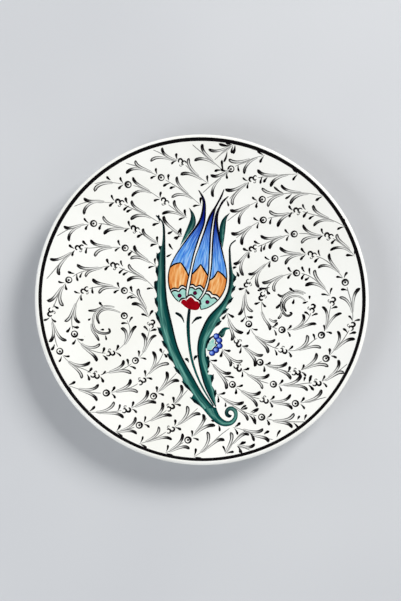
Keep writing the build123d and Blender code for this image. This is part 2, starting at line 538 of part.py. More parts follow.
def make_stems(vine):
    """The stem, in one stroke between each flower and the next."""
    marks = [vine.distance_to(x, y) for kind, x, y in vine.flowers]
    starts = [0.0] + [mark + FLOWER_GAP for mark in marks]
    ends = [mark - FLOWER_GAP for mark in marks] + [vine.length]
    strokes = []
    for start, end in zip(starts, ends):
        if end - start > FLOWER_GAP:
            path = [vine.frame_at(start + (end - start) * i / 5)[0] for i in range(6)]
            widths = [STEM_W / 2, STEM_W, STEM_W, STEM_W / 2]
            strokes += laid(brush(path, widths, stations=4), SCROLL_LAYER)
    return strokes


def leaf_path(vine, head):
    """Path of a comma leaf: along the stem from its root, then hooked outwards to its head."""
    reach = vine.distance_to(*head)
    at, along, left = vine.frame_at(reach)
    tip = Vector(*head)
    side = math.copysign(1, (tip - at).dot(left))
    root, out_of_root, root_left = vine.frame_at(max(reach - LEAF_BACK, 1.0))
    root += root_left * side * STEM_W
    span = (tip - root).length
    hook = tip - (left * side + along * 0.15) * LEAF_HOOK
    return [tip, hook, root + out_of_root * span * 0.45, root]


def make_leaves(vine):
    """Long comma leaves, fat and dark at the head, fine at the root."""
    widths = [1.1, LEAF_HEAD_W, 1.3, 0.8, LEAF_TAIL_W]
    strokes = []
    for head in vine.leaf_heads:
        curve = Bezier(*leaf_path(vine, head))
        middle = curve @ 0.5
        path = [curve @ (i / 4) - middle for i in range(5)]
        strokes += pressed(brush(path, widths, stations=5), middle.X, middle.Y)
    return strokes


# Ticks spring in pairs where a stem starts, just before a flower and just after it:
# (along, sideways) from the flower to each tick's tail and head.
TICKS_BEFORE = ((-5.2, 1.7), (-3.8, 5.2))
TICKS_AFTER = ((4.8, 1.5), (7.4, 4.9))
TICKS_AT_ROOT = ((0.8, 1.2), (3.8, 4.6))


def make_tick(vine, mark, ends, side):
    """One short comma, drawn about its own middle and laid on the face."""
    at, along, left = vine.frame_at(mark)
    tail, head = [at + along * a + left * side * b for a, b in ends]
    middle = (tail + head) * 0.5
    bow = along * TICK_W
    outline = make_face([
        ThreePointArc(tail - middle, bow, head - middle),
        ThreePointArc(head - middle, bow * 0.1, tail - middle),
    ])
    return pressed(outline, middle.X, middle.Y)


def make_ticks(vine):
    """All the pairs of ticks along one vine."""
    marks = [(0.0, TICKS_AT_ROOT)]
    for kind, x, y in vine.flowers:
        mark = vine.distance_to(x, y)
        marks.append((mark, TICKS_BEFORE))
        if mark < vine.length - FLOWER_GAP:
            marks.append((mark, TICKS_AFTER))
    strokes = []
    for mark, ends in marks:
        for side in (-1, 1):
            strokes += make_tick(vine, mark, ends, side)
    return strokes


def make_rosette(vine, x, y):
    """Ring with a thick front and a dot inside."""
    at, along, left = vine.frame_at(vine.distance_to(x, y))
    shift = along * -0.35
    ring = Circle(ROSETTE_R) - Pos(shift.X, shift.Y) * Circle(ROSETTE_R * 0.7)
    return pressed(ring, x, y) + pressed(Circle(0.75), x, y)


def make_trefoil(vine, x, y):
    """Dark ring in front, a lighter loop behind it and a small dot on the left."""
    at, along, left = vine.frame_at(vine.distance_to(x, y))
    ring_at = at + along * 1.2
    loop_at = at - along * 3.2
    dot_at = at + left * 4.6
    ring = Circle(TREFOIL_R) - Circle(TREFOIL_R * 0.5)
    loop = Circle(TREFOIL_R) - Circle(TREFOIL_R * 0.68)
    return (pressed(ring, ring_at.X, ring_at.Y) + pressed(loop, loop_at.X, loop_at.Y)
            + pressed(Circle(0.9), dot_at.X, dot_at.Y))


def make_flowers(vine, wanted, maker):
    """All the flowers of one kind on one vine."""
    dabs = []
    for kind, x, y in vine.flowers:
        if kind == wanted:
            dabs += maker(vine, x, y)
    return dabs


def make_curls(curls):
    """Leaves wound into a spiral's centre."""
    strokes = []
    for path in curls:
        strokes += laid(brush(path, [1.2, 1.5, 1.1, 0.7], stations=len(path) + 3), SCROLL_LAYER)
    return strokes


# ------------------------------------------------------------------- assembly
save("clay_body", [make_clay_body()])
save("foot_ring", [make_foot_ring()])
save("face_glaze", [make_face_glaze()])
save("back_glaze", [make_back_glaze(FOOT_OUTER_R, BACK_EDGE_R)])
save("recess_glaze", [make_back_glaze(0, FOOT_INNER_R)])
save("rim_band", [make_rim_band()])

make_petal("left", LEFT_PETAL)
make_petal("centre", CENTRE_PETAL)
make_petal("right", RIGHT_PETAL)
save("petal_outlines", make_petal_outlines())
save("scallop_lines", make_scallop_lines())
save("petal_dots", [dot for x, y in PETAL_DOTS for dot in laid(Pos(x, y) * Circle(PETAL_DOT_R), LINE_LAYER)])
save("red_heart", make_heart())
save("left_sepal", laid(between(*LEFT_SEPAL), WASH_LAYER))
save("right_sepal", laid(between(*RIGHT_SEPAL), WASH_LAYER))
save("tulip_stem", laid(between(*TULIP_STEM), WASH_LAYER))
save("stem_sprigs", [s for path in STEM_SPRIGS for s in laid(brush(path, SPRIG_WIDTHS), SCROLL_LAYER)])

save("left_leaf", make_leaf(LEFT_LEAF_TIP, LEFT_LEAF_TEETH, LEFT_LEAF_INNER))
save("right_leaf", make_leaf(RIGHT_LEAF_TIP, RIGHT_LEAF_TEETH, RIGHT_LEAF_INNER))
save("base_curl", make_base_curl())
save("left_leaf_shading", make_leaf_shading(LEFT_LEAF_TEETH, LEFT_LEAF_INNER, -1))
save("right_leaf_shading", make_leaf_shading(RIGHT_LEAF_TEETH, RIGHT_LEAF_INNER, 1))

save("blossom_beads", make_beads())
save("blossom_core", laid(make_face(Spline(*CORE)), WASH_LAYER))
save("blossom_arc", laid(brush(BLOSSOM_ARC, [1.2, 1.8, 1.0]), LINE_LAYER))
save("blossom_leaflet", laid(make_face(Spline(*LEAFLET)), WASH_LAYER))

for field, routes, curls in (("left", LEFT_VINES, LEFT_CURLS), ("right", RIGHT_VINES, RIGHT_CURLS)):
    vines = [Vine(route, heads) for route, heads in routes]
    save(f"scroll_{field}_stems", [s for vine in vines for s in make_stems(vine)])
    save(f"scroll_{field}_leaves", [s for vine in vines for s in make_leaves(vine)])
    save(f"scroll_{field}_ticks", [s for vine in vines for s in make_ticks(vine)])
    save(f"scroll_{field}_rosettes", [s for vine in vines for s in make_flowers(vine, "rosette", make_rosette)])
    save(f"scroll_{field}_trefoils", [s for vine in vines for s in make_flowers(vine, "trefoil", make_trefoil)])
    save(f"scroll_{field}_curls", make_curls(curls))
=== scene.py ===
import math
import random

import bpy
import numpy as np
from mathutils import Matrix, Vector
from mathutils.geometry import delaunay_2d_cdt


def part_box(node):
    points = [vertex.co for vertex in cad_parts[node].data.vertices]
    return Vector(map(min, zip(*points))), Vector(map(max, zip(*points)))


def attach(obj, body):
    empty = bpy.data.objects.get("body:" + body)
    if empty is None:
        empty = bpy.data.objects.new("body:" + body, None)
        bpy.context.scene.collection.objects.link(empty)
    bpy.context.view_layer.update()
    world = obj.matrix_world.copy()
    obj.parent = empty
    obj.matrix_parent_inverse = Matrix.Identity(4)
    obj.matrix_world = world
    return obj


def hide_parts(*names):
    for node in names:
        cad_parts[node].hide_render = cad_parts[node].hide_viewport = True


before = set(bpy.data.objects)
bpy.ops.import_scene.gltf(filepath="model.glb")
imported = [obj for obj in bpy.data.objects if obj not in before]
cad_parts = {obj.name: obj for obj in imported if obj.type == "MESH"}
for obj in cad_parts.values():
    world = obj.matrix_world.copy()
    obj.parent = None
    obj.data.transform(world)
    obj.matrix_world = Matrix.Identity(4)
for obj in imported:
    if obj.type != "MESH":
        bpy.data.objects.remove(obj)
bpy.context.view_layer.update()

# Hand painted plate.  Every length below is in millimetres, in the frame of the CAD
# part: the plate lies on its foot ring, painted face up, the tulip's tips towards +Y.
MM = 0.001
CHANCE = random.Random(11)

# ---- measures of the pottery
PLATE_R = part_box("face_glaze")[1][0] / MM       # outside of the lip
LIP_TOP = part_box("face_glaze")[1][2] / MM
FACE_SPHERE_R = 600.0      # the face is a shallow spherical dish
FACE_Z = 12.0              # glazed face above the table at the centre
GLAZE_T = 0.4
CENTRE_T = 7.0             # glazed face to bare underside at the centre
RIM_T = 5.0                # the same near the lip
LIP_START_R = 147.2
LIP_ROUNDING = 1.0         # the face eases into the lip over this far
BACK_EDGE_R = 146.8
UNDER_LIP = 0.6            # the face glaze's lower side starts this far inside that edge
FOOT_OUTER_R = 81.0
FOOT_INNER_R = 75.0
TURNS = 360                # steps round the plate
FACE_RINGS = 60
LIP_RINGS = 25
FACE_UNDER_RINGS = 30
BACK_RINGS = 40
GLAZE_END = 0.05           # width of the last ring at each edge of the underside's glaze

FACE_CENTRE_Z = FACE_Z + FACE_SPHERE_R
BACK_CENTRE_DEPTH = FACE_Z - CENTRE_T

# ---- films of paint
WASH_T = 0.05              # colour washes above the glaze
INK_T = 0.05               # brush strokes above what they lie on
SINK = 0.03                # every film reaches this far into the glaze
OVER = 0.01                # lift of a film that just covers another
GRID = 2.4                 # spacing of the triangles in a wash
STEP = 0.5                 # spacing of the points along an outline
STATIONS = 300             # places along a blade at which its middle and width are known
NARROWEST = 0.3            # a blade counts as at least this wide, near its tip
PAST_EDGE = 1.3            # how far across a blade counts, where 1 is its edge

# Across a stroke: places from edge to edge, height and which of its three inks.
ACROSS = (-1.0, -0.97, -0.6, -0.25, 0.25, 0.6, 0.97, 1.0)
DOME = (None, 0.8, 0.95, 1.0, 1.0, 0.95, 0.8, None)
INKS = (0, 0, 0, 1, 1, 2, 2, 2)
ROUND_END = 0.06           # keeps a stroke's round ends from closing to a point

# Out from the middle of a drop of paint: share of its radius and height.
DROP_RINGS = ((0.45, 1.0), (0.8, 0.95), (0.97, 0.8), (1.0, None))
DROP_SIDES = 20

# ---- brush sizes: widths and inks
# Widths and inks are spread evenly along a stroke.  Ink is 0 for none and 1 for full.
FULL = [1.0]
BAND_R = 145.0
BAND_W = 3.1
BAND_STEPS = 720
# Waves round the plate, each with its number, size and start.  The first of the width's
# makes the band wider towards the tulip's tips.
BAND_R_WAVES = ((3, 0.08, 0.6), (11, 0.03, 0.0))
BAND_W_WAVES = ((1, 0.3, 0.0), (5, 0.08, 1.0))
BAND_INK = [1.1]

OUTLINE_WIDTHS = [0.7, 1.8, 2.1, 1.4, 1.0, 1.0, 1.1, 0.9]
INLINE_WIDTHS = [0.7, 1.5, 1.4, 1.2, 1.0]
SCALLOP_WIDTHS = [1.1, 1.6, 1.1]
PETAL_DOT_R = 2.0
SPRIG_WIDTHS = [2.0, 2.9, 1.7, 0.6]
SPRIG_INK = [1.0, 1.0, 0.9, 0.6]

LEAF_EDGE_WIDTHS = [1.3, 1.6, 1.5, 1.3, 1.1]
LEAF_EDGE_INK = [0.9]
TOOTH_POINT = (1.0, 0.6)   # a tooth's dab starts this far out from it and above it
TOOTH_DAB = ((0.0, 0.0), (0.45, 0.9), (0.8, 1.1))   # share of the way to the notch, and how far inside
TOOTH_WIDTHS = (0.5, 3.0, 0.7)       # at its point, at most in the middle, and at its end
TOOTH_MIDDLE = (0.3, 0.9)  # middle width: this share of the tooth's length, plus this
TOOTH_INK = [1.0, 1.0, 0.7]

BEAD_R = 2.95
BEAD_SIDES = 28
BEAD_LIGHT = (-0.45, 0.15) # where a berry is palest, in radii from its middle
ARC_WIDTHS = [1.4, 2.4, 1.2]
BORDER_WIDTHS = [0.8, 1.1, 0.8]

VARIETY = 0.12             # of a stroke's widths, either way
ROUTE_STEP = 0.2           # spacing of the points along a stem's route
LOOK = 0.4                 # a stem's direction is read this far each side of a place
STEM_W = 0.75              # scroll stem
STEM_TAPER = (0.7, 1.0, 1.0, 0.8)
STEM_INK = [0.35, 0.45, 0.5, 0.55]
STEM_SPACING = 1.2         # of the points along a stem
ROOT_CLEAR = 1.0           # a leaf leaves its stem no nearer to the stem's root
LEAF_BACK = 17.0           # along the stem, from a leaf's head back to its root
LEAF_HOOK = 5.5            # length of the outward hook at a leaf's head
HOOK_LEAN = 0.15           # of the hook, forwards along the stem
LEAF_PULL = 0.45           # how far a leaf follows its stem, as a share of its length
LEAF_WIDTHS = [2.3, 3.1, 2.9, 2.5, 2.2, 1.7, 1.1]
LEAF_OUTER_INK = [1.0, 1.0, 1.0, 0.85, 0.6, 0.45, 0.4]
LEAF_INNER_INK = [1.0, 1.0, 0.85, 0.6, 0.45, 0.4, 0.3]
LEAF_HOLLOWS = (0.2, 0.7, 1.0, 1.0)         # ink behind a leaf's head, one by chance
LEAF_MIDDLE_INK = [0.07, 0.05, 0.06, 0.1]   # between its lines, on to the root
LEAF_POINTS = 22
ROOT_WASH_WIDTHS = [1.2, 2.7, 2.3, 0.8]
ROOT_WASH_EDGE = [0.3, 0.3, 0.2, 0.12]
ROOT_WASH_MIDDLE = [0.14, 0.1, 0.08, 0.06]
ROOT_WASH_END = 0.3        # of LEAF_BACK, short of the leaf's head
ROOT_WASH_POINTS = 10

FLOWER_GAP = 4.3           # bare stem each side of a flower
ROSETTE_R = 2.55
ROSETTE_WIDTHS = [2.1, 1.6, 1.1, 0.9, 1.1, 1.6, 2.1]
ROSETTE_INK = [1.0, 1.0, 0.9, 0.8, 0.9, 1.0, 1.0]
ROSETTE_DOT_R = 1.05
ROSETTE_DOT_FORWARD = 0.3  # from the middle of the ring
# A trefoil's three loops: its middle forwards and to the left of the mark, radius, angle
# at which the brush starts, points drawn out of CIRCLE_POINTS, widths and inks.
CIRCLE_POINTS = 28
TREFOIL_LOOPS = (
    ((1.6, -0.8), 1.785, 2.4, 24, [1.1, 1.6, 2.0, 1.7, 1.1], [0.8, 1.0, 1.0, 1.0, 0.9]),
    ((-2.3, -0.6), 1.785, 3.4, 22, [0.9, 1.2, 1.5, 1.2, 0.8], [0.8, 1.0, 1.0, 0.8]),
    ((-0.4, 2.4), 1.05, 0.0, 24, [0.9, 0.7, 0.9], [0.8, 0.45, 0.7]),
)
CURL_WIDTHS = [1.9, 2.5, 2.1, 1.7, 1.1]
CURL_INK = [1.0, 1.0, 0.85, 0.65, 0.5]
CURL_MIDDLE = [1.0, 0.35, 0.08, 0.05, 0.1]

# Ticks spring in pairs where a stem starts, just before a flower and just after it:
# (along, sideways) from the flower to each tick's tail and head.  One more stands past
# each leaf's head, on its side, where the flower is far enough.
TICK_WIDTHS = [1.5, 2.3, 2.2, 1.6, 1.0, 0.6]
TICK_INK = [1.1, 1.1, 1.1, 1.0, 0.9, 0.7]
TICK_POINTS = 10
TICK_BOW = 1.5
TICK_JITTER = 0.35         # along the stem
TICK_VARIETY = 0.2         # of its widths, either way
TICKS_BEFORE = ((-7.4, 0.9), (-4.6, 6.2))
TICKS_FAR = ((-9.0, 0.9), (-4.8, 6.4))
TICKS_AFTER = ((4.8, 0.9), (7.8, 5.6))
TICKS_AT_ROOT = ((1.4, 0.8), (5.4, 5.8))
TICK_BY_LEAF = ((1.8, 0.8), (5.4, 5.2))
ROOM_FOR_ONE = 9.0
ROOM_FOR_TWO = 13.5
SINGLE_REACH = 0.2         # of their length, by which single commas pass their marked ends
SINGLE_BOW = 0.2           # of their length, sideways


# ---- the tulip's outlines
# Each petal runs from its tip to its foot.  The lines across it are rows of arcs: every
# second point is where two arcs meet.
LEFT_PETAL = {
    "outer": [(-3.5, 99.5), (0.5, 91), (0.3, 80), (-3, 70), (-9.3, 61), (-17.3, 50), (-24, 40),
              (-28.8, 30), (-30.7, 20), (-29.6, 10), (-24, 0), (-21.5, -2.4)],
    "inner": [(-3.5, 99.5), (1.6, 92), (2.8, 80), (1.9, 70), (-1.5, 60), (-5, 50), (-8, 40),
              (-10.2, 30), (-12.3, 20), (-14.5, 8), (-14.4, -0.6)],
    "blue_to_amber": [(-32, 25), (-26, 31.3), (-19.3, 33.3), (-15, 27), (-11, 17.5)],
    "amber_foot": [(-30.5, 6), (-26, 9.6), (-21.6, 9.1), (-18.5, 12.2), (-13, 9.2)],
    "turquoise_top": [(-30, 3.5), (-25, 7.7), (-21.1, 6.4), (-18, 9.5), (-13, 6.6)],
}
CENTRE_PETAL = {
    "outer": [(20, 100.5), (16, 91.5), (12, 84), (8.2, 78), (4.8, 70), (2.2, 62), (-0.3, 55), (-2.8, 47.5),
              (-5.5, 40), (-7.6, 32), (-9.2, 24), (-10.5, 15), (-12.2, 7), (-13.2, 1.2)],
    "inner": [(20, 100.5), (17, 92), (13.4, 86), (10.7, 78), (9.2, 70), (8, 62), (7.4, 54), (7, 45),
              (6.4, 35), (6, 25), (4.6, 17), (2.2, 9.5), (-0.5, 3.5), (-3.6, -0.6)],
    "blue_to_amber": [(-10.5, 21.5), (-5, 27), (-1.3, 32), (2, 27), (6.5, 19.5)],
    "amber_foot": [(-13, 10.5), (-8.5, 13.3), (-5.5, 11), (-2.5, 12.5), (2.6, 7.5)],
    "turquoise_top": [(-13.5, 8), (-9.5, 10.6), (-6, 8.4), (-3, 10), (1.2, 5.5)],
}
RIGHT_PETAL = {
    "outer": [(24, 94), (17.6, 86.5), (14.6, 80), (13.6, 70), (15, 60), (17, 50), (19.3, 40),
              (21.6, 30), (22.6, 20), (21, 10), (17, 2), (10, -5), (4, -8.4), (-1, -9.6)],
    "inner": [(24, 94), (18.5, 89.5), (15.9, 84.8), (13.5, 80), (11.4, 70), (10.3, 60), (9.6, 50), (9.2, 40),
              (8.6, 30), (7.2, 20), (4.9, 10), (1.8, 3.5), (-1.5, -1.5), (-1, -9.6)],
    "blue_to_amber": [(6.4, 17), (9.6, 19), (14.2, 25.9), (18.3, 23), (24, 15.5)],
    "amber_foot": [(3, 6.8), (6.4, 7.2), (9.6, 4), (12, 4), (17, 0)],
    "turquoise_top": [(2, 4.8), (5.4, 4.4), (8.2, 0.6), (11, 1.2), (15, -3)],
}
PETAL_LINES = ("blue_to_amber", "amber_foot", "turquoise_top")
PETAL_DOTS = [(-20.4, 2.9), (-6.4, 5.4), (4.9, -2.8)]

HEART_LOBES = [(-19.3, -3.6), (-17.6, -0.7), (-14.2, -1.4), (-10.2, 1.7), (-6.4, -1.9), (-3.4, -2.7),
               (-2, -6)]
HEART_FOOT = [(-2, -6), (-3, -9.2), (-9, -10), (-14.8, -7.6), (-19.3, -3.6)]
HEART_BORDER = [(-21, -3.2), (-18.6, 0), (-15.2, 0.6), (-10.2, 3.7), (-5.2, 0), (-2.4, -1.4), (-0.8, -5.4)]

LEFT_SEPAL = ([(-12.3, 83.8), (-10.4, 77), (-12.2, 69), (-15, 62), (-18, 54.5), (-20.2, 48.2)],
              [(-12.3, 83.8), (-8.4, 79.5), (-6, 73.5), (-6.1, 68), (-9.9, 62), (-14.8, 55.3), (-20.2, 48.2)])
RIGHT_SEPAL = ([(25.7, 79.2), (20, 75), (16.6, 68.5), (15.8, 61), (17.2, 53), (18.8, 46.5)],
               [(25.7, 79.2), (22.8, 74.5), (21.6, 67), (20.6, 58), (18.8, 46.5)])

TULIP_STEM = (
    [(-12.6, -8.9), (-14, -20), (-13.6, -35), (-11.6, -50), (-7.5, -65), (-1, -80), (9.4, -97.6)],
    [(-10.2, -9.4), (-10.9, -20), (-10.7, -35), (-9.2, -50), (-5.4, -65), (0.8, -80), (10.6, -97.2)],
)
STEM_SPRIGS = [[(-24.3, -12.7), (-19, -16), (-16.2, -22)], [(0, -16.8), (-4.5, -17.8), (-9.3, -23)],
               [(-15.6, -55), (-13.4, -55.6), (-12.2, -58.5)], [(-4.2, -52), (-6, -53.2), (-7.2, -56.5)]]


# ---- the leaves' outlines
# Toothed edges run tip, notch, tip, notch: each tooth stands out past the edge.
LEFT_LEAF_TIP = [(-42, 76.5), (-37.4, 71), (-36, 63), (-36.2, 54), (-36.8, 48.5)]
LEFT_LEAF_TEETH = [(-36.8, 48.5), (-38.4, 48.2), (-38.3, 43), (-40.3, 41.5), (-40, 31), (-41, 29),
                   (-40.5, 17), (-42.5, 15), (-41, 2), (-42, 0.3), (-40, -11), (-41.5, -13), (-37.3, -26.3),
                   (-39.3, -26.6), (-34.8, -38.4), (-35.5, -39), (-30.3, -49), (-30.7, -50.7),
                   (-24.6, -61.2), (-24.5, -62.7), (-17.8, -72.5), (-17.3, -75.8), (-8, -87.5),
                   (-10, -90.3), (0.6, -100.2)]
LEFT_LEAF_INNER = [(-42, 76.5), (-35.8, 70.5), (-33.6, 58), (-33.3, 40), (-33, 18), (-31, -5), (-26.5, -25),
                   (-21.3, -45), (-14.3, -60), (-6, -75), (2, -88.5), (11, -99.3)]

RIGHT_LEAF_TIP = [(30.5, 54.5), (27, 51), (26.2, 43), (26.6, 35), (28.2, 24)]
RIGHT_LEAF_TEETH = [(28.2, 24), (30.4, 21), (28.2, 13), (29.7, 11.5), (26.3, 3.5), (27.6, 1), (21.5, -8),
                    (23.2, -9.2), (16, -17), (17, -20.3), (10.5, -28), (6.2, -36.2), (3.4, -45.6),
                    (3.8, -52.5), (7.2, -57.3), (5, -66), (5.2, -69), (9.2, -69.3), (8.6, -79),
                    (11.2, -83.3), (11.6, -92), (12.4, -98)]
RIGHT_LEAF_INNER = [(30.5, 54.5), (25.8, 50.5), (24.3, 42), (24.6, 26), (23.4, 8.5), (16, -5), (6.5, -15),
                    (0.8, -25), (-3, -35), (-4.3, -50), (-2.4, -63), (2.2, -80), (11.6, -98.5)]

CURL_OUTER = [(0, -99.5), (7, -108), (14, -114), (21, -115.8), (28, -113.2), (31.5, -106), (29, -99),
              (23.6, -98.2), (20, -102.5), (21.3, -107), (25, -107.8), (26.4, -105.8)]
CURL_INNER = [(26.4, -105.8), (24, -104.9), (23.2, -103.4), (25, -101.6), (27.7, -103.4), (27.4, -108),
              (23, -111), (17.5, -108.6), (13.8, -103), (12.4, -98.7)]


# ---- the blossom's outlines
BEADS = [(13, -34.2), (15.6, -38), (15.9, -43), (12.7, -46.8), (9.1, -49.5)]
CORE = [(9.6, -36.2), (11.3, -38.9), (10.6, -40.2), (12.3, -41.8), (10, -43.8), (8.4, -46.3), (4.2, -46.1),
        (5.6, -41.5), (9.6, -36.2)]
BLOSSOM_ARC = [(11, -33.7), (6.6, -37), (4.5, -41), (3.8, -45.4)]
CORE_BORDER = [(10.4, -35.8), (12.4, -38.6), (11.8, -40.3), (13.2, -41.6), (11.2, -44.2), (8.9, -46.9),
               (4.6, -47)]
LEAFLET = [(14.6, -31.7), (18, -27.5), (22, -25.9), (26, -27.3), (22.5, -28.2), (20.5, -32.5), (18, -35.4),
           (14.6, -31.7)]


# ---- the scrollwork's routes
def rosette(x, y):
    return ("rosette", x, y)


def trefoil(x, y):
    return ("trefoil", x, y)


# Each vine: its stem from root to tip with the flowers it passes, R for a rosette and T
# for a trefoil, then the heads of its long comma leaves.
R, T = rosette, trefoil
LEFT_VINES = [
    ([(-42.5, 8.5), (-47.7, 14), (-53.7, 18.9), (-61.5, 22.5), (-70, 25.5), T(-79.5, 29), (-89, 28),
      (-98.5, 25.5), (-110.5, 22), R(-120, 15), (-128, 4), (-132, -7), T(-135, -15), (-133, -26), (-131, -39),
      R(-126.8, -49.7), (-121, -57), (-112, -63), (-103, -66.5), T(-95, -70.5), (-84, -68), (-73, -65.5),
      R(-60, -57), (-53, -49.5), (-50, -40), (-48, -31), T(-46, -23)],
     [(-66.2, 31.2), (-67.9, 15), (-113, 29.5), (-105, 18), (-139, -4.3), (-124.2, -8.8), (-136.5, -41.5),
      (-120.8, -39.6), (-100, -58.5), (-107.5, -74), (-71, -56.5), (-63.5, -69), (-55, -32), (-41, -34)]),
    ([(-48, -18), (-51.7, -8.4), (-57, -1.3), (-63, 4), R(-70.3, 6.7), (-80, 9.8), (-91, 10),
      T(-105.5, 5.5), (-113.5, -7), (-116.9, -20), R(-114.3, -33.8), (-107.8, -43.2), (-97, -49),
      T(-82, -50), (-70, -42), (-65, -29), R(-70.2, -16.4)],
     [(-57.3, 8.9), (-63.8, -6), (-99, 17), (-92.8, 3.2), (-123.3, -22.6), (-109.3, -23.3), (-91.8, -41.8),
      (-94.3, -58.5), (-73.5, -28), (-59, -25.5)]),
    ([(-41.5, 29.5), (-50, 35), (-60, 40.5), R(-69.9, 45.6), (-80, 46), (-91.7, 46), (-102, 44.5),
      T(-111, 44), (-117, 40.5), (-126, 32), (-134, 22), (-139.5, 15)],
     [(-61.2, 48.5), (-65.2, 35.6), (-101, 52.3), (-97, 36.8), (-137, 33.5), (-128, 19)]),
    ([(-39.5, 49.5), (-46, 53.5), (-53, 57.5), T(-61.5, 62.8), (-72, 63.7), (-84, 66), R(-98.4, 66.9),
      (-108, 65), (-119, 61.5), (-131, 54)],
     [(-53.4, 64), (-89.9, 74), (-89.1, 57.2), (-125, 63.5), (-120, 50)]),
    ([(-38, 69), (-45, 73), (-55, 78.5), (-66, 82.5), T(-75.5, 86.5), (-85, 86.3), (-96, 87), (-106, 85.5),
      (-116, 81.5)],
     [(-64, 89), (-65.1, 71.2), (-107.3, 89.7), (-107, 74.5)]),
    ([(-13.8, 74.3), (-20, 78), (-27, 83), T(-34.5, 88.5), (-44, 95), (-54, 100), R(-67.5, 103),
      (-78, 104), (-90, 104.5), (-98, 102.5)],
     [(-25, 90.3), (-36.7, 77), (-63.2, 110), (-64.2, 92.2), (-97.5, 95.5)]),
    ([(-0.6, 85.3), (-9.2, 92.4), (-18, 99), (-28, 105), R(-37.5, 110.1), (-47, 114.5), (-58, 119),
      (-69.7, 122)],
     [(-23, 111.5), (-28, 92.2), (-61, 124.9), (-69.3, 112.6)]),
    ([(6, 105), (-3.1, 111.3), (-11, 117.5), T(-19, 124), (-28, 126.5), (-37.3, 131.3), (-45, 134.5)],
     [(-12.2, 128), (-20, 112.8), (-36.6, 137), (-47.3, 124.2)]),
    ([(19, 117), (12.5, 122.5), (5, 128.5), (-2, 134), (-9.3, 140)],
     [(0.3, 140.7), (-7.4, 125.5)]),
    ([(-18, 57), (-26, 62.5), (-33.5, 68.5)], [(-34.5, 75.8)]),
    ([(-119.5, -80), (-109, -83.5), (-98, -86), R(-85.5, -86.5), (-74, -84.5), (-63, -81), T(-54, -75),
      (-46, -66), (-39.5, -58.5), (-34, -47)],
     [(-92.5, -78.5), (-93.5, -94), (-64.5, -73.5), (-57.5, -86), (-45, -48.5), (-29.5, -60)]),
    ([(-101, -103.5), (-90, -104), (-78, -103), T(-67.5, -101), (-57, -97), (-49, -93), R(-43.5, -89),
      (-36, -82), (-29, -74.5), (-23, -68)],
     [(-78.5, -94), (-70, -109), (-49.5, -83.5), (-41, -95.5), (-32.5, -66.5), (-20.5, -75.5)]),
    ([(-77, -121), (-67, -119), R(-56, -115), (-46, -110.5), (-37, -105.5), T(-28.5, -98.5), (-20, -91),
      (-13, -83)],
     [(-59.5, -107.5), (-58, -123), (-36, -94.5), (-27, -107), (-19.5, -78.5)]),
    ([(-56, -131.5), (-48, -129), (-38, -124.5), T(-28.5, -118.5), (-20, -113.5), (-11, -106), (-4, -99.5)],
     [(-39, -116), (-27, -128), (-14, -97.5), (-1.5, -105.5)]),
    ([(-33, -139.5), (-26, -136), (-19.5, -131.5), R(-13, -128), (-6, -121.5), (0, -114.5), (4, -108)],
     [(-18, -122), (-11.5, -136), (0, -105), (11.5, -115.3)]),
]
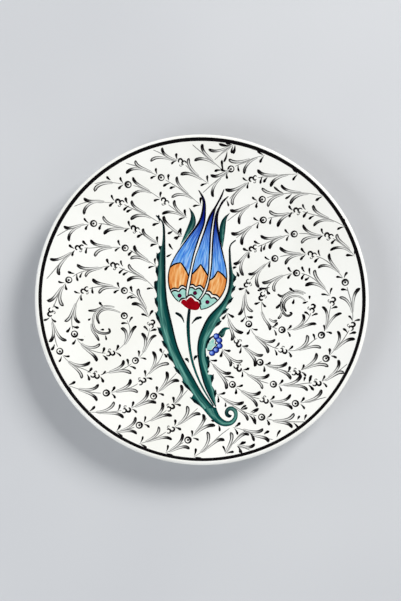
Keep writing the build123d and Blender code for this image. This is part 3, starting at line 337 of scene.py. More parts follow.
RIGHT_VINES = [
    ([(22.5, -12), (24, -19), (26.5, -27), (29.5, -34), T(32.8, -40), (40, -46), (46, -52), R(52, -58),
      (60, -61.5), (71, -65), T(84, -67), (94, -63), (103, -59.5), R(110.5, -55.3), (118, -48), (125, -40),
      (130, -32.5), T(133.5, -26), (135, -15), (134, -5), (131.5, 5), R(129, 13.5), (124, 22), (117, 30),
      (109, 36), T(99.5, 39.5)],
     [(37.5, -30.5), (26, -38), (55, -50.8), (47, -62), (76, -58), (79, -74), (102, -50), (112.5, -63),
      (121, -30.5), (136.5, -38.5), (123.5, 0), (142, 8), (115.5, 40.5), (105, 27.3)]),
    ([(95, 40.3), (85, 40.6), (75, 39.4), R(66.5, 37), (58, 31.5), (50, 24.5), (46, 20), T(41.8, 14),
      (39, 4), (38.5, -6), (39.2, -15), R(42.3, -22.8), (46, -31), (54, -38.5), (63, -44), T(73, -47),
      (84, -47.5), (94, -43.5), (101, -38), R(107, -34), (112, -25), (114.5, -14), T(117, -3)],
     [(71, 47.5), (76, 31), (42, 23.5), (52, 10.5), (32.5, -14.5), (46.5, -11.3), (66, -37), (59, -50),
      (106.5, -46), (94, -33.5), (108, -8), (125.5, -14.5)]),
    ([(115.5, 1.5), (112.5, 6), (107, 12.5), (98, 19.8), R(86, 23.3), (76, 21.7), (66, 17.5), (59, 10.5),
      T(55, 2), (54, -8), (56, -17), (62.5, -25), R(72, -28.5), (83, -28), (92, -23), (97.5, -15.5),
      T(99, -9)],
     [(102.5, 26), (93.5, 11), (54.5, 15.5), (66.5, 6.5), (61, -29), (90.5, -14.5), (103, -24)]),
    ([(28.5, 140), (22, 136), (16.5, 131.5), (11, 126.5)], [(5.5, 136.3)]),
    ([(57, 130.5), (47, 128), (37, 124), R(26.3, 118.6), (20, 113.5), (13, 108), (7, 103), (0.5, 97)],
     [(24, 127.5), (38.5, 114), (7.5, 113.5), (10.3, 93.3)]),
    ([(88, 113), (74, 112.8), (60, 111.5), T(46.5, 109), (38, 103.5), (31, 98), (25, 91.5)],
     [(50.5, 118), (62.5, 102), (21, 100.5), (28.5, 86)]),
    ([(110, 92.5), (99, 95), (87, 96.3), (75, 95.8), (65, 94), R(55, 91), (46, 87), (37, 82), (30, 77),
      (23, 71.5)],
     [(72, 104), (80.5, 86), (54.5, 101.5), (60.3, 84), (25.5, 82), (34.5, 68.5)]),
    ([(130, 64), (120, 69.5), (108, 74.3), (98, 77), T(87, 79.8), (76, 76.8), (66, 75), R(56, 72.3),
      (47, 68), (38, 61.5), (31, 56)],
     [(101, 85), (101.3, 65.5), (61.5, 81), (69, 65.5), (26.5, 61), (37, 49.5)]),
    ([(137.5, 37), (131, 45), (123, 51), T(114.5, 56), (105, 57), (95, 59), R(84, 59), (74, 57.2),
      (65, 54), (56, 50), T(46.8, 46), (40, 40.5), (34, 34.5), (28.5, 27)],
     [(122.5, 58), (116, 43), (91.8, 67.5), (90.5, 50), (53.5, 58.5), (62, 45.5), (28.5, 33), (38, 21.5)]),
    ([(18, -45.5), (21.5, -51), (26, -57), T(32.5, -62.5), (40, -68), (48, -73), (56, -76.3), R(63.5, -78),
      (74, -79), (85, -78.5), (94, -77.3), T(102, -77), (112, -73), (121, -67), (129, -60.5)],
     [(36.5, -56), (25, -62), (60, -68.5), (53.5, -82.5), (88, -69), (93.5, -84.5), (121, -56.5),
      (126, -69)]),
    ([(6, -55.5), (12, -63), (19, -71), R(27, -78), (36, -84.5), (45, -89.5), T(55.5, -92), (65, -94.3),
      (74, -95.2), R(82.5, -95.5), (92, -94.3), (101, -92.3), (110, -90)],
     [(26, -67), (21, -82.5), (52, -84), (48.5, -98.5), (78.5, -87), (79.5, -101), (105.5, -83)]),
    ([(13, -86.5), (21, -92.5), (30, -98.5), (40, -104), R(52.5, -107.5), (63, -110.5), (76, -111.8),
      (91, -112)],
     [(37, -93.5), (40, -111), (81, -104), (79, -117.5)]),
    ([(27, -116.5), (36, -119), (46, -123.5), (62, -127.5)], [(53.5, -117.5), (58, -130)]),
    ([(20, -140.5), (24, -134), (29, -128), (34, -122.5), (39, -119.5)], [(24.5, -121), (41, -124)]),
    ([(30.5, -132), (36, -134.5), (42, -137)], [(46, -131)]),
    ([(-8, -143), (1, -137), (9, -130), (16, -123.5), (24, -117.5)], [(4, -120.5), (19.5, -128.5)]),
]

# Leaves wound into the two spiral centres, head first.
LEFT_CURLS = [
    [(-84.3, -27.8), (-83, -30.8), (-89.3, -32.7), (-96.4, -29), (-98.1, -21.3), (-95.2, -13), (-89.2, -9.8)],
    [(-92.3, -24.2), (-94.4, -17.5), (-90.5, -12), (-81.5, -10.9), (-73.7, -13.5)],
    [(-102.7, -12.3), (-95.8, -11.7), (-88.6, -8.3), (-79, -8.5)],
    [(-92.6, -39.8), (-94, -36.5), (-98.8, -29.5), (-99.6, -24)],
]
RIGHT_CURLS = [
    [(79, -12.8), (81, -13.5), (78.5, -15.7), (74.5, -14), (71.8, -7), (73.5, 0.5), (78, 3.6), (85, 5.5),
     (92, 3.5)],
    [(76.3, -12), (74, -6), (77, -0.5), (83, 2.2), (89, 1.3), (93.5, -2.5)],
    [(68.5, 4.3), (72, 2.2), (78, 5), (86, 7), (94, 4.5)],
    [(68.5, -18.5), (70.7, -16.3), (72.4, -11)],
    [(67.8, -19.5), (65.5, -20.8), (60.5, -18)],
]


# Single commas that stand between the vines, each from head to tail.
LEFT_TICKS = [
    ((-92.3, -4.6), (-90, -7.3)), ((-102.3, -20.8), (-100.5, -19.5)), ((-86.3, -38.3), (-87, -35)),
    ((-88.5, -29.5), (-91, -29.6)), ((-86.7, 109.3), (-84, 107)), ((-29.7, 50), (-27, 46)),
    ((-32, 39), (-28.5, 41)), ((-31, 60), (-27.5, 62)), ((-24, 55), (-21.5, 58)), ((-19.5, 63), (-22, 60)),
    ((-37.5, -46), (-36, -49)), ((-32, -53.5), (-34, -51)),
]
RIGHT_TICKS = [
    ((67.5, -8), (71.5, -3.5)), ((82, -4.5), (83, -1)), ((91.5, -4), (95, -3)), ((97.5, 2), (97.3, -0.5)),
    ((80, 9.5), (83.5, 6.8)), ((97.5, 27), (98, 22.5)), ((93.5, 17), (96.5, 19)),
    ((66.5, 101.5), (72.5, 97.3)), ((76.3, 91.8), (80.5, 94.8)), ((19.8, 126), (22, 133)),
    ((18, 125.5), (19, 119.5)),
    ((16.3, 140.8), (24, 139.5)), ((28, 133), (29.3, 138.5)), ((23.8, 85.5), (22.5, 89.5)),
    ((53, 9.8), (60, 10.5)), ((33, 21), (31.7, 24.5)), ((28.5, 29), (31, 29.5)), ((34, -139), (31, -134)),
    ((36.5, -130), (33.5, -131.5)), ((45, -128), (42.5, -122.5)), ((33, -113), (31, -115.5)),
    ((58.5, -120.5), (55, -122.5)), ((68.5, -120), (66, -124.5)), ((49.5, -100.5), (44, -103)),
    ((20.5, -98), (20.5, -95)), ((46.5, -113), (42.5, -107)), ((38.5, -97.5), (35, -100)),
    ((86, -107), (84.5, -109.5)), ((92, -106), (90.5, -109.5)), ((84, -117), (81, -113.5)),
    ((27.5, -72), (21, -71.5)), ((92, -72), (91, -75)), ((97.5, -71), (95.5, -75)),
    ((98.5, -83.5), (96, -80.5)), ((10, -111.5), (8, -110.5)), ((15, -119.5), (14.5, -115.5)),
]


# ---- curves and heights
def face_height(r):
    """Height of the glazed face at radius r."""
    return FACE_CENTRE_Z - np.sqrt(FACE_SPHERE_R ** 2 - r * r)


BACK_EDGE_Z = face_height(BACK_EDGE_R) - RIM_T
BACK_RISE = BACK_EDGE_Z - BACK_CENTRE_DEPTH
BACK_SPHERE_R = (BACK_EDGE_R ** 2 + BACK_RISE ** 2) / (2 * BACK_RISE)


def back_height(r):
    """Height of the bare underside at radius r."""
    return BACK_CENTRE_DEPTH + BACK_SPHERE_R - np.sqrt(BACK_SPHERE_R ** 2 - r * r)


def smooth(points, step=STEP):
    """Points about a step apart on the natural cubic spline through the given ones, flowers among them."""
    p = np.array([point[-2:] for point in points], float)
    t = np.concatenate([[0], np.cumsum(np.hypot(*np.diff(p, axis=0).T))])
    h = np.diff(t)
    system, bend = np.eye(len(p)), np.zeros_like(p)
    for i in range(1, len(p) - 1):
        system[i, i - 1:i + 2] = h[i - 1], 2 * (h[i - 1] + h[i]), h[i]
        bend[i] = 6 * ((p[i + 1] - p[i]) / h[i] - (p[i] - p[i - 1]) / h[i - 1])
    bend = np.linalg.solve(system, bend)
    at = np.linspace(0, t[-1], max(3, int(t[-1] / step) + 1))
    i = np.clip(np.searchsorted(t, at, side="right") - 1, 0, len(p) - 2)
    a = ((t[i + 1] - at) / h[i])[:, None]
    b = 1 - a
    sag = (a ** 3 - a) * bend[i] + (b ** 3 - b) * bend[i + 1]
    return a * p[i] + b * p[i + 1] + sag * (h[i] ** 2)[:, None] / 6


def straight(points, step=STEP):
    """Points about a step apart on the straight runs between the given ones."""
    return np.vstack([smooth(pair, step)[:-1] for pair in zip(points, points[1:])] + [points[-1:]])


def evenly(curve, count):
    """A curve's points, resampled to an even count."""
    reach = np.concatenate([[0], np.cumsum(np.hypot(*np.diff(curve, axis=0).T))])
    at = np.linspace(0, reach[-1], count)
    return np.stack([np.interp(at, reach, curve[:, 0]), np.interp(at, reach, curve[:, 1])], axis=1)


def spread(values, t):
    """Values given at even places from 0 to 1, read at t."""
    return np.interp(t, np.linspace(0, 1, len(values)), values)


def bezier(points, count):
    """Points on a Bezier curve."""
    t = np.linspace(0, 1, count)[:, None]
    degree = len(points) - 1
    shares = [math.comb(degree, i) * t ** i * (1 - t) ** (degree - i) for i in range(degree + 1)]
    return sum(share * np.array(point) for share, point in zip(shares, points))


def circle(x, y, radius, start):
    """Points round a circle from a starting angle."""
    turns = start + np.linspace(0, math.tau, CIRCLE_POINTS, endpoint=False)
    return np.stack([x + radius * np.cos(turns), y + radius * np.sin(turns)], axis=1)


def arcs(points, step=STEP):
    """The arcs of a row, each through three points, which meet at every second point."""
    return [smooth(points[i:i + 3], step) for i in range(0, len(points) - 2, 2)]


# ---- paint as meshes
class Sheet:
    """Closed paint films that go into one mesh, with what the materials read at each point."""

    def __init__(self):
        self.places, self.faces = [], []
        self.values = {"ink": [], "along": [], "across": []}

    def add(self, xy, height, faces, **values):
        start = len(self.places)
        z = face_height(np.hypot(xy[:, 0], xy[:, 1])) + height
        self.places += [(x * MM, y * MM, h * MM) for (x, y), h in zip(xy, z)]
        self.faces += [[start + i for i in face] for face in faces]
        for name, listed in self.values.items():
            listed += list(np.broadcast_to(values.get(name, 0.0), len(xy)))

    def piece(self, node, material, slot):
        """The sheet as one object, which stands for a CAD node."""
        mesh = bpy.data.meshes.new(node + "_paint")
        mesh.from_pydata(self.places, [], self.faces)
        for key, values in self.values.items():
            mesh.attributes.new(key, "FLOAT", "POINT").data.foreach_set("value", values)
        placed(mesh, material, node)


def placed(mesh, material, node):
    """Links a mesh as a piece that rides on the plate and stands for a CAD node."""
    mesh.materials.append(material)
    piece = bpy.data.objects.new(mesh.name, mesh)
    bpy.context.scene.collection.objects.link(piece)
    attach(piece, "root")
    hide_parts(node)


def stroke(sheet, path, widths, right, middle=None, left=None, lift=0.0, side=0.0, closed=False):
    """One brush stroke: a low closed dome along a path, with its ink at the edges and between them."""
    path = np.asarray(path, float)
    count = len(path)
    along = np.roll(path, -1, axis=0) - np.roll(path, 1, axis=0) if closed else np.gradient(path, axis=0)
    along /= np.hypot(*along.T)[:, None]
    left_hand = np.stack([-along[:, 1], along[:, 0]], axis=1)
    t = np.linspace(0, 1, count)
    half = spread(widths, t) / 2
    if not closed:
        run = np.concatenate([[0], np.cumsum(np.hypot(*np.diff(path, axis=0).T))])
        from_end = np.minimum(run, run[-1] - run)
        half = half * np.sqrt(np.clip((from_end + ROUND_END) / half, 0, 1))
    inks = [spread(right if ink is None else ink, t) for ink in (right, middle, left)]
    xy = [path + left_hand * (half * (across + side))[:, None] for across in ACROSS]
    height = [np.full(count, -SINK if dome is None else lift + INK_T * dome) for dome in DOME]
    faces, lanes = [], len(ACROSS)
    for i in range(count if closed else count - 1):
        j = (i + 1) % count
        for lane in range(lanes - 1):
            low, high = lane * count, (lane + 1) * count
            faces.append((low + i, low + j, high + j, high + i))
        faces.append((high + i, high + j, j, i))
    if not closed:
        faces.append([lane * count for lane in range(lanes)])
        faces.append([lane * count + count - 1 for lane in reversed(range(lanes))])
    sheet.add(np.vstack(xy), np.concatenate(height), faces, ink=np.concatenate([inks[i] for i in INKS]),
              along=np.tile(t, lanes), across=np.repeat(ACROSS, count))


def dab(sheet, x, y, radius, lift=0.0, sides=DROP_SIDES, lean=(0.0, 0.0)):
    """Round drop of paint: a low closed dome, whose middle may lean to one side."""
    xy, height, reach = [(x + radius * lean[0], y + radius * lean[1])], [lift + INK_T], [0.0]
    for share, dome in DROP_RINGS:
        shift_x, shift_y = (radius * amount * (1 - share) for amount in lean)
        for i in range(sides):
            turn = math.tau * i / sides
            xy.append((x + shift_x + radius * share * math.cos(turn),
                       y + shift_y + radius * share * math.sin(turn)))
            height.append(-SINK if dome is None else lift + INK_T * dome)
            reach.append(share)
    faces = [(0, 1 + i, 1 + (i + 1) % sides) for i in range(sides)]
    for ring in range(len(DROP_RINGS) - 1):
        low, high = 1 + ring * sides, 1 + (ring + 1) * sides
        for i in range(sides):
            j = (i + 1) % sides
            faces.append((low + i, high + i, high + j, low + j))
    faces.append([high + i for i in reversed(range(sides))])
    sheet.add(np.array(xy), np.array(height), faces, ink=1.0, across=np.array(reach))


def inside(points, outline):
    """True for each point inside a closed outline."""
    x, y = points[:, :1], points[:, 1:]
    a, b = outline, np.roll(outline, -1, axis=0)
    rise = np.where(a[:, 1] == b[:, 1], 1e-9, b[:, 1] - a[:, 1])
    at = a[:, 0] + (y - a[:, 1]) / rise * (b[:, 0] - a[:, 0])
    return (((a[:, 1] > y) != (b[:, 1] > y)) & (x < at)).sum(axis=1) % 2 == 1


def tiled(outline, lines=()):
    """Even triangles over an outline, with edges along its border and along lines across it."""
    low, high = outline.min(axis=0), outline.max(axis=0)
    xs, ys = np.arange(low[0], high[0], GRID), np.arange(low[1], high[1], GRID)
    grid = np.array([(x + (row % 2) * GRID / 2, y) for row, y in enumerate(ys) for x in xs])
    borders = np.vstack([outline, *lines])
    gap = np.hypot(*(grid[:, None] - borders[None]).transpose(2, 0, 1)).min(axis=1)
    grid = grid[inside(grid, outline) & (gap > GRID / 2)]
    points = [*outline]
    edges = [(i, (i + 1) % len(outline)) for i in range(len(outline))]
    for line in lines:
        edges += [(len(points) + i, len(points) + i + 1) for i in range(len(line) - 1)]
        points += [*line]
    points += [*grid]
    found = delaunay_2d_cdt([Vector(p) for p in points], edges, [], 0, 1e-5)
    places, faces = np.array([tuple(p) for p in found[0]]), np.array(found[2])
    return places, faces[inside(places[faces].mean(axis=1), outline)]


def film(sheet, places, faces, values, lift=0.0):
    """Closed flat film of paint over some triangles: a top, a bottom and walls."""
    used, faces = np.unique(faces, return_inverse=True)
    faces = faces.reshape(-1, 3)
    places = places[used]
    a, b, c = places[faces].transpose(1, 0, 2)
    upside_down = np.cross(b - a, c - a) < 0
    faces[upside_down] = faces[upside_down][:, ::-1]
    count = len(places)
    sides = {(int(f[i]), int(f[(i + 1) % 3])) for f in faces for i in range(3)}
    border = [(i, j) for i, j in sorted(sides) if (j, i) not in sides]
    listed = [tuple(f) for f in faces] + [tuple(f[::-1] + count) for f in faces]
    walls = [(j, i, i + count, j + count) for i, j in border]
    height = np.concatenate([np.full(count, lift + WASH_T), np.full(count, -SINK)])
    doubled = {name: np.tile(value[used], 2) for name, value in values.items()}
    sheet.add(np.vstack([places, places]), height, listed + walls, **doubled)


def guided(places, left, right):
    """Where places lie in a blade: along it from 0 to 1, and across it from -1 at the left edge to 1."""
    left, right = evenly(left, STATIONS), evenly(right, STATIONS)
    middle, half = (left + right) / 2, (right - left) / 2
    width = np.maximum(np.hypot(*half.T), NARROWEST)
    nearest = np.array([np.hypot(*(middle - place).T).argmin() for place in places])
    offset = places - middle[nearest]
    across = (offset * half[nearest]).sum(axis=1) / width[nearest] ** 2
    return {"along": nearest / (STATIONS - 1), "across": np.clip(across, -PAST_EDGE, PAST_EDGE)}


# ---- the pottery
def lathe(name, profile, material, node):
    """Closed solid of revolution from a profile that starts and ends on the axis, or closes on itself."""
    on_axis = profile[0][0] == 0
    rows = profile[1:-1] if on_axis else profile
    places, faces = [], []
    for r, z in rows:
        for i in range(TURNS):
            turn = math.tau * i / TURNS
            places.append((r * math.cos(turn) * MM, r * math.sin(turn) * MM, z * MM))
    for row in range(len(rows) - (1 if on_axis else 0)):
        low, high = row * TURNS, (row + 1) % len(rows) * TURNS
        for i in range(TURNS):
            j = (i + 1) % TURNS
            faces.append((low + j, low + i, high + i, high + j))
    if on_axis:
        first, last = len(places), len(places) - TURNS
        places += [(0, 0, profile[0][1] * MM), (0, 0, profile[-1][1] * MM)]
        faces += [(first, i, (i + 1) % TURNS) for i in range(TURNS)]
        faces += [(first + 1, last + (i + 1) % TURNS, last + i) for i in range(TURNS)]
    mesh = bpy.data.meshes.new(name)
    mesh.from_pydata(places, [], faces)
    mesh.polygons.foreach_set("use_smooth", [True] * len(faces))
    placed(mesh, material, node)


def make_face(material):
    """The white glaze over the face and round the lip, with a soft roll where the two meet."""
    top = [(r, face_height(r)) for r in np.linspace(0, LIP_START_R - LIP_ROUNDING, FACE_RINGS)]
    start, end = (LIP_START_R, LIP_TOP), (BACK_EDGE_R, back_height(BACK_EDGE_R) - GLAZE_T)
    half, middle = (start[1] - end[1]) / 2, (start[1] + end[1]) / 2
    edge = []
    for share in np.linspace(0, 1, LIP_RINGS):
        turn = math.pi * (0.5 - share)
        r = start[0] + (end[0] - start[0]) * share
        edge.append((r + (PLATE_R - start[0]) * math.cos(turn), middle + half * math.sin(turn)))
    under_radii = np.linspace(BACK_EDGE_R - UNDER_LIP, 0, FACE_UNDER_RINGS)
    under = [(r, face_height(r) - GLAZE_T) for r in under_radii]
    lathe("glazed_face", top + edge + under, material, "face_glaze")


def make_under_glaze(name, radii, material, node):
    """An even coat of glaze on the underside, out along some radii."""
    outer = [(r, back_height(r) - GLAZE_T) for r in radii]
    inner = [(r, back_height(r)) for r in radii[::-1]]
    lathe(name, (outer + inner)[::-1], material, node)


def make_pottery():
    """Glazed dish, its underside and the foot ring."""
    white, clay = white_glaze(), bare_clay()
    make_face(white)
    rings = np.linspace(FOOT_OUTER_R + GLAZE_END, BACK_EDGE_R - GLAZE_END, BACK_RINGS)
    make_under_glaze("glazed_back", [FOOT_OUTER_R, *rings, BACK_EDGE_R], white, "back_glaze")
    make_under_glaze("glazed_recess", np.linspace(0, FOOT_INNER_R, BACK_RINGS), white, "recess_glaze")
    for node in ("clay_body", "foot_ring"):
        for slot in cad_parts[node].material_slots:
            slot.material = clay


def waver(turn, waves):
    """Sum of waves round the plate, at each turn."""
    return sum(size * np.sin(number * turn + start) for number, size, start in waves)


def make_band(material):
    """Black band painted on a turning wheel, so its edges waver a little."""
    turn = np.linspace(0, math.tau, BAND_STEPS, endpoint=False)
    radius = BAND_R + waver(turn, BAND_R_WAVES)
    path = np.stack([radius * np.cos(turn), radius * np.sin(turn)], axis=1)
    widths = BAND_W + waver(turn, BAND_W_WAVES)
    sheet = Sheet()
    stroke(sheet, path, widths, BAND_INK, closed=True)
    sheet.piece("rim_band", material, "black_band")


# ---- the tulip
def blade_outline(left, right):
    """Closed outline between two curves that run from the tip to the foot."""
    back = right[::-1]
    joined = np.vstack([left, back[1:] if np.allclose(back[0], left[-1]) else back])
    return joined[:-1] if np.allclose(joined[0], joined[-1]) else joined


def under_line(points, line):
    """True for points below a line that runs from left to right, taken as level beyond its ends."""
    return points[:, 1] < np.interp(points[:, 0], line[:, 0], line[:, 1])


def make_petal(name, petal, paints):
    """One petal's three washes: blue tip, amber middle and turquoise foot."""
    left, right = smooth(petal["outer"]), smooth(petal["inner"])
    lines = [np.vstack(arcs(petal[key])) for key in PETAL_LINES]
    heart = np.vstack(arcs(HEART_BORDER))
    places, faces = tiled(blade_outline(left, right), [*lines, heart])
    middles = places[faces].mean(axis=1)
    values = guided(places, left, right)
    below = [under_line(middles, line) for line in lines]
    beside_heart = (middles[:, 0] < heart[0, 0]) | (middles[:, 0] > heart[-1, 0])
    clear = beside_heart | ~under_line(middles, heart)
    fields = {"blue": ~below[0], "amber": below[0] & ~below[1], "turquoise": below[2] & clear}
    for colour, kept in fields.items():
        sheet = Sheet()
        film(sheet, places, faces[kept], values)
        sheet.piece(f"{name}_petal_{colour}", *paints[colour])


def make_petal_lines(material):
    """Black outlines of the petals, broad towards the tips, and the scalloped lines across them."""
    outlines, scalloped = Sheet(), Sheet()
    for petal in (LEFT_PETAL, CENTRE_PETAL, RIGHT_PETAL):
        outer, inner = smooth(petal["outer"]), smooth(petal["inner"])
        stroke(outlines, outer, OUTLINE_WIDTHS, FULL, lift=WASH_T)
        stroke(outlines, inner, INLINE_WIDTHS, FULL, lift=WASH_T)
        outline = blade_outline(outer, inner)
        for key in PETAL_LINES:
            for arc in arcs(petal[key], STEP / 2):
                stroke(scalloped, arc[inside(arc, outline)], SCALLOP_WIDTHS, FULL, lift=WASH_T)
    for arc in arcs(HEART_BORDER):
        stroke(scalloped, arc, SCALLOP_WIDTHS, FULL, lift=WASH_T)
    outlines.piece("petal_outlines", material, "line_black")
    scalloped.piece("scallop_lines", material, "line_black")


def make_wash(node, left, right, material, slot, guide=None, lift=0.0):
    """One blade-shaped wash between two curves; a guide gives the brush a smoother left edge."""
    places, faces = tiled(blade_outline(left, right))
    sheet = Sheet()
    film(sheet, places, faces, guided(places, left if guide is None else guide, right), lift)
    sheet.piece(node, material, slot)


def make_ring_wash(node, ring, material, slot):
    """One wash inside a closed curve, brushed from its first point to its middle one."""
    curve = smooth(ring)
    half = len(curve) // 2
    make_wash(node, curve[:half], curve[half:][::-1], material, slot)


def make_flower():
    """The tulip with its sepals, stem and sprigs."""
    line = scroll_ink("line_black", srgb(8, 6, 18))
    green = leaf_green("sepal_green", 0.25, tip_reach=0.8)
    paints = {"blue": (petal_blue(), "cobalt_blue"), "amber": (petal_amber(), "amber"),
              "turquoise": (pale_turquoise(), "turquoise")}
    for name, petal in (("left", LEFT_PETAL), ("centre", CENTRE_PETAL), ("right", RIGHT_PETAL)):
        make_petal(name, petal, paints)
    make_petal_lines(line)
    make_wash("red_heart", np.vstack(arcs(HEART_LOBES)), smooth(HEART_FOOT)[::-1], coral_red(), "coral_red")
    dots, sprigs = Sheet(), Sheet()
    for x, y in PETAL_DOTS:
        dab(dots, x, y, PETAL_DOT_R, lift=WASH_T)
    dots.piece("petal_dots", berry_maroon(), "maroon")
    for node, (left, right) in (("left_sepal", LEFT_SEPAL), ("right_sepal", RIGHT_SEPAL)):
        make_wash(node, smooth(left), smooth(right), green, "leaf_green")
    stem_left, stem_right = TULIP_STEM
    stem_green = leaf_green("stem_green", 0.0, srgb(22, 86, 78))
    make_wash("tulip_stem", smooth(stem_left), smooth(stem_right), stem_green, "leaf_green")
    for path in STEM_SPRIGS:
        stroke(sprigs, smooth(path), SPRIG_WIDTHS, SPRIG_INK)
    sprigs.piece("stem_sprigs", scroll_ink("sprig_black", srgb(6, 20, 22)), "deep_green")
    make_blossom(paints["turquoise"], (green, "leaf_green"))


def make_blossom(turquoise, green):
    """Half blossom in the right leaf: berries round a turquoise heart, and its leaflet."""
    beads, lines = Sheet(), Sheet()
    for i, (x, y) in enumerate(BEADS):
        dab(beads, x, y, BEAD_R, lift=OVER * i, sides=BEAD_SIDES, lean=BEAD_LIGHT)
    beads.piece("blossom_beads", berry_blue(), "bead_blue")
    make_ring_wash("blossom_core", CORE, *turquoise)
    stroke(lines, smooth(BLOSSOM_ARC), ARC_WIDTHS, FULL, lift=WASH_T)
    stroke(lines, smooth(CORE_BORDER), BORDER_WIDTHS, FULL, lift=WASH_T)
    lines.piece("blossom_arc", scroll_ink("blossom_dark", srgb(4, 30, 36)), "deep_green")
    make_ring_wash("blossom_leaflet", LEAFLET, *green)


# ---- the leaves
def make_leaf_shading(node, teeth, inner, side, material):
    """Dark brush strokes: one down the smooth edge and a dab on every tooth."""
    sheet = Sheet()
    stroke(sheet, smooth(inner), LEAF_EDGE_WIDTHS, LEAF_EDGE_INK, lift=WASH_T, side=side)
    start, most, end = TOOTH_WIDTHS
    share, least = TOOTH_MIDDLE
    for tip, notch in zip(teeth[1::2], teeth[2::2]):
        run = np.array(notch) - tip
        point = np.array(tip) + (side * TOOTH_POINT[0], TOOTH_POINT[1])
        path = [point + run * along - (side * inwards, 0) for along, inwards in TOOTH_DAB]
        widths = [start, min(most, np.hypot(*run) * share + least), end]
        stroke(sheet, smooth(path), widths, TOOTH_INK, lift=WASH_T)
    sheet.piece(node, material, "deep_green")


def make_leaves_of_tulip():
    """The two long toothed leaves and the curl at their foot."""
    blade = leaf_green("leaf_green")
    dark = scroll_ink("deep_green", srgb(0, 22, 26))
    leaves = (("left_leaf", LEFT_LEAF_TIP, LEFT_LEAF_TEETH, LEFT_LEAF_INNER, -1),
              ("right_leaf", RIGHT_LEAF_TIP, RIGHT_LEAF_TEETH, RIGHT_LEAF_INNER, 1))
    for node, tip, teeth, inner, side in leaves:
        edge = np.vstack([smooth(tip)[:-1], straight(teeth)])
        guide = smooth([*tip[:-1], *teeth[1:-1:4], teeth[-1]])
        make_wash(node, edge, smooth(inner), blade, "leaf_green", guide, OVER)
        make_leaf_shading(node + "_shading", teeth, inner, side, dark)
    curl = leaf_green("curl_green", 0.1)
    make_wash("base_curl", smooth(CURL_INNER), smooth(CURL_OUTER)[::-1], curl, "leaf_green")


# ---- the scrollwork
class Vine:
    """One scroll stem as a smooth curve, with its flowers and leaf heads."""

    def __init__(self, route, leaf_heads):
        self.points = smooth(route, ROUTE_STEP)
        self.run = np.concatenate([[0], np.cumsum(np.hypot(*np.diff(self.points, axis=0).T))])
        self.length = self.run[-1]
        self.flowers = [mark for mark in route if len(mark) == 3]
        self.leaf_heads = leaf_heads

    def at(self, distance):
        """Point at a distance along the stem."""
        return np.array([np.interp(distance, self.run, values) for values in self.points.T])

    def frame_at(self, distance):
        """Point, growth direction and left-hand direction at a distance along the stem."""
        distance = min(max(distance, 0.0), self.length)
        along = self.at(distance + LOOK) - self.at(distance - LOOK)
        along /= np.hypot(*along)
        return self.at(distance), along, np.array([-along[1], along[0]])

    def distance_to(self, x, y):
        """Distance along the stem of the point nearest to (x, y)."""
        return self.run[np.hypot(*(self.points - (x, y)).T).argmin()]

    def side_of(self, point):
        """How far along the stem a point lies, and on which side: 1 left, -1 right."""
        reach = self.distance_to(*point)
        at, along, left = self.frame_at(reach)
        return reach, math.copysign(1, (np.array(point) - at) @ left)


def varied(values, share=VARIETY):
    """Values multiplied by one random number near 1, as a hand varies from stroke to stroke."""
    factor = CHANCE.uniform(1 - share, 1 + share)
    return [value * factor for value in values]


def make_stems(sheet, vine):
    """The stem, in one thin stroke between each flower and the next, darker as it goes."""
    marks = [vine.distance_to(x, y) for kind, x, y in vine.flowers]
    starts = [0.0] + [mark + FLOWER_GAP for mark in marks]
    ends = [mark - FLOWER_GAP for mark in marks] + [vine.length]
    for start, end in zip(starts, ends):
        if end - start > FLOWER_GAP:
            count = max(6, int((end - start) / STEM_SPACING))
            path = [vine.at(place) for place in np.linspace(start, end, count + 1)]
            stroke(sheet, path, varied([STEM_W * share for share in STEM_TAPER]), STEM_INK)


def make_root_wash(sheet, vine, head):
    """Pale wash along the stem where a leaf leaves it, with a darker edge on both sides."""
    reach = vine.distance_to(*head)
    start, end = max(reach - LEAF_BACK, ROOT_CLEAR), reach - LEAF_BACK * ROOT_WASH_END
    path = [vine.at(place) for place in np.linspace(start, end, ROOT_WASH_POINTS)]
    stroke(sheet, path, varied(ROOT_WASH_WIDTHS), ROOT_WASH_EDGE, ROOT_WASH_MIDDLE, lift=-OVER)


def leaf_path(vine, head):
    """Path of a comma leaf: from its head, hooked outwards, back along the stem to its root."""
    reach = vine.distance_to(*head)
    at, along, left = vine.frame_at(reach)
    tip = np.array(head)
    side = math.copysign(1, (tip - at) @ left)
    root, out_of_root, root_left = vine.frame_at(max(reach - LEAF_BACK, ROOT_CLEAR))
    root = root + root_left * side * STEM_W
    pull = out_of_root * np.hypot(*(tip - root)) * LEAF_PULL
    hook = tip - (left * side + along * HOOK_LEAN) * LEAF_HOOK
    return side, bezier([tip, hook, root + pull, root], LEAF_POINTS)


def make_leaves(sheet, vine):
    """Long comma leaves: two lines with a pale wash between them, closing to a dark head."""
    for head in vine.leaf_heads[::2]:
        make_root_wash(sheet, vine, head)
    for head in vine.leaf_heads:
        side, path = leaf_path(vine, head)
        hollow = CHANCE.choice(LEAF_HOLLOWS)
        edges = (LEAF_OUTER_INK, LEAF_INNER_INK)
        right, left = edges if side > 0 else edges[::-1]
        middle = [1.0, hollow, hollow * 0.7, *LEAF_MIDDLE_INK]
        stroke(sheet, path, varied(LEAF_WIDTHS), right, middle, left, lift=OVER)


def make_tick(sheet, tail, head, bow):
    """One short comma with a round dark head and a fine tail."""
    path = bezier([head, (tail + head) / 2 + bow, tail], TICK_POINTS)
    stroke(sheet, path, varied(TICK_WIDTHS, TICK_VARIETY), TICK_INK, lift=2 * OVER)


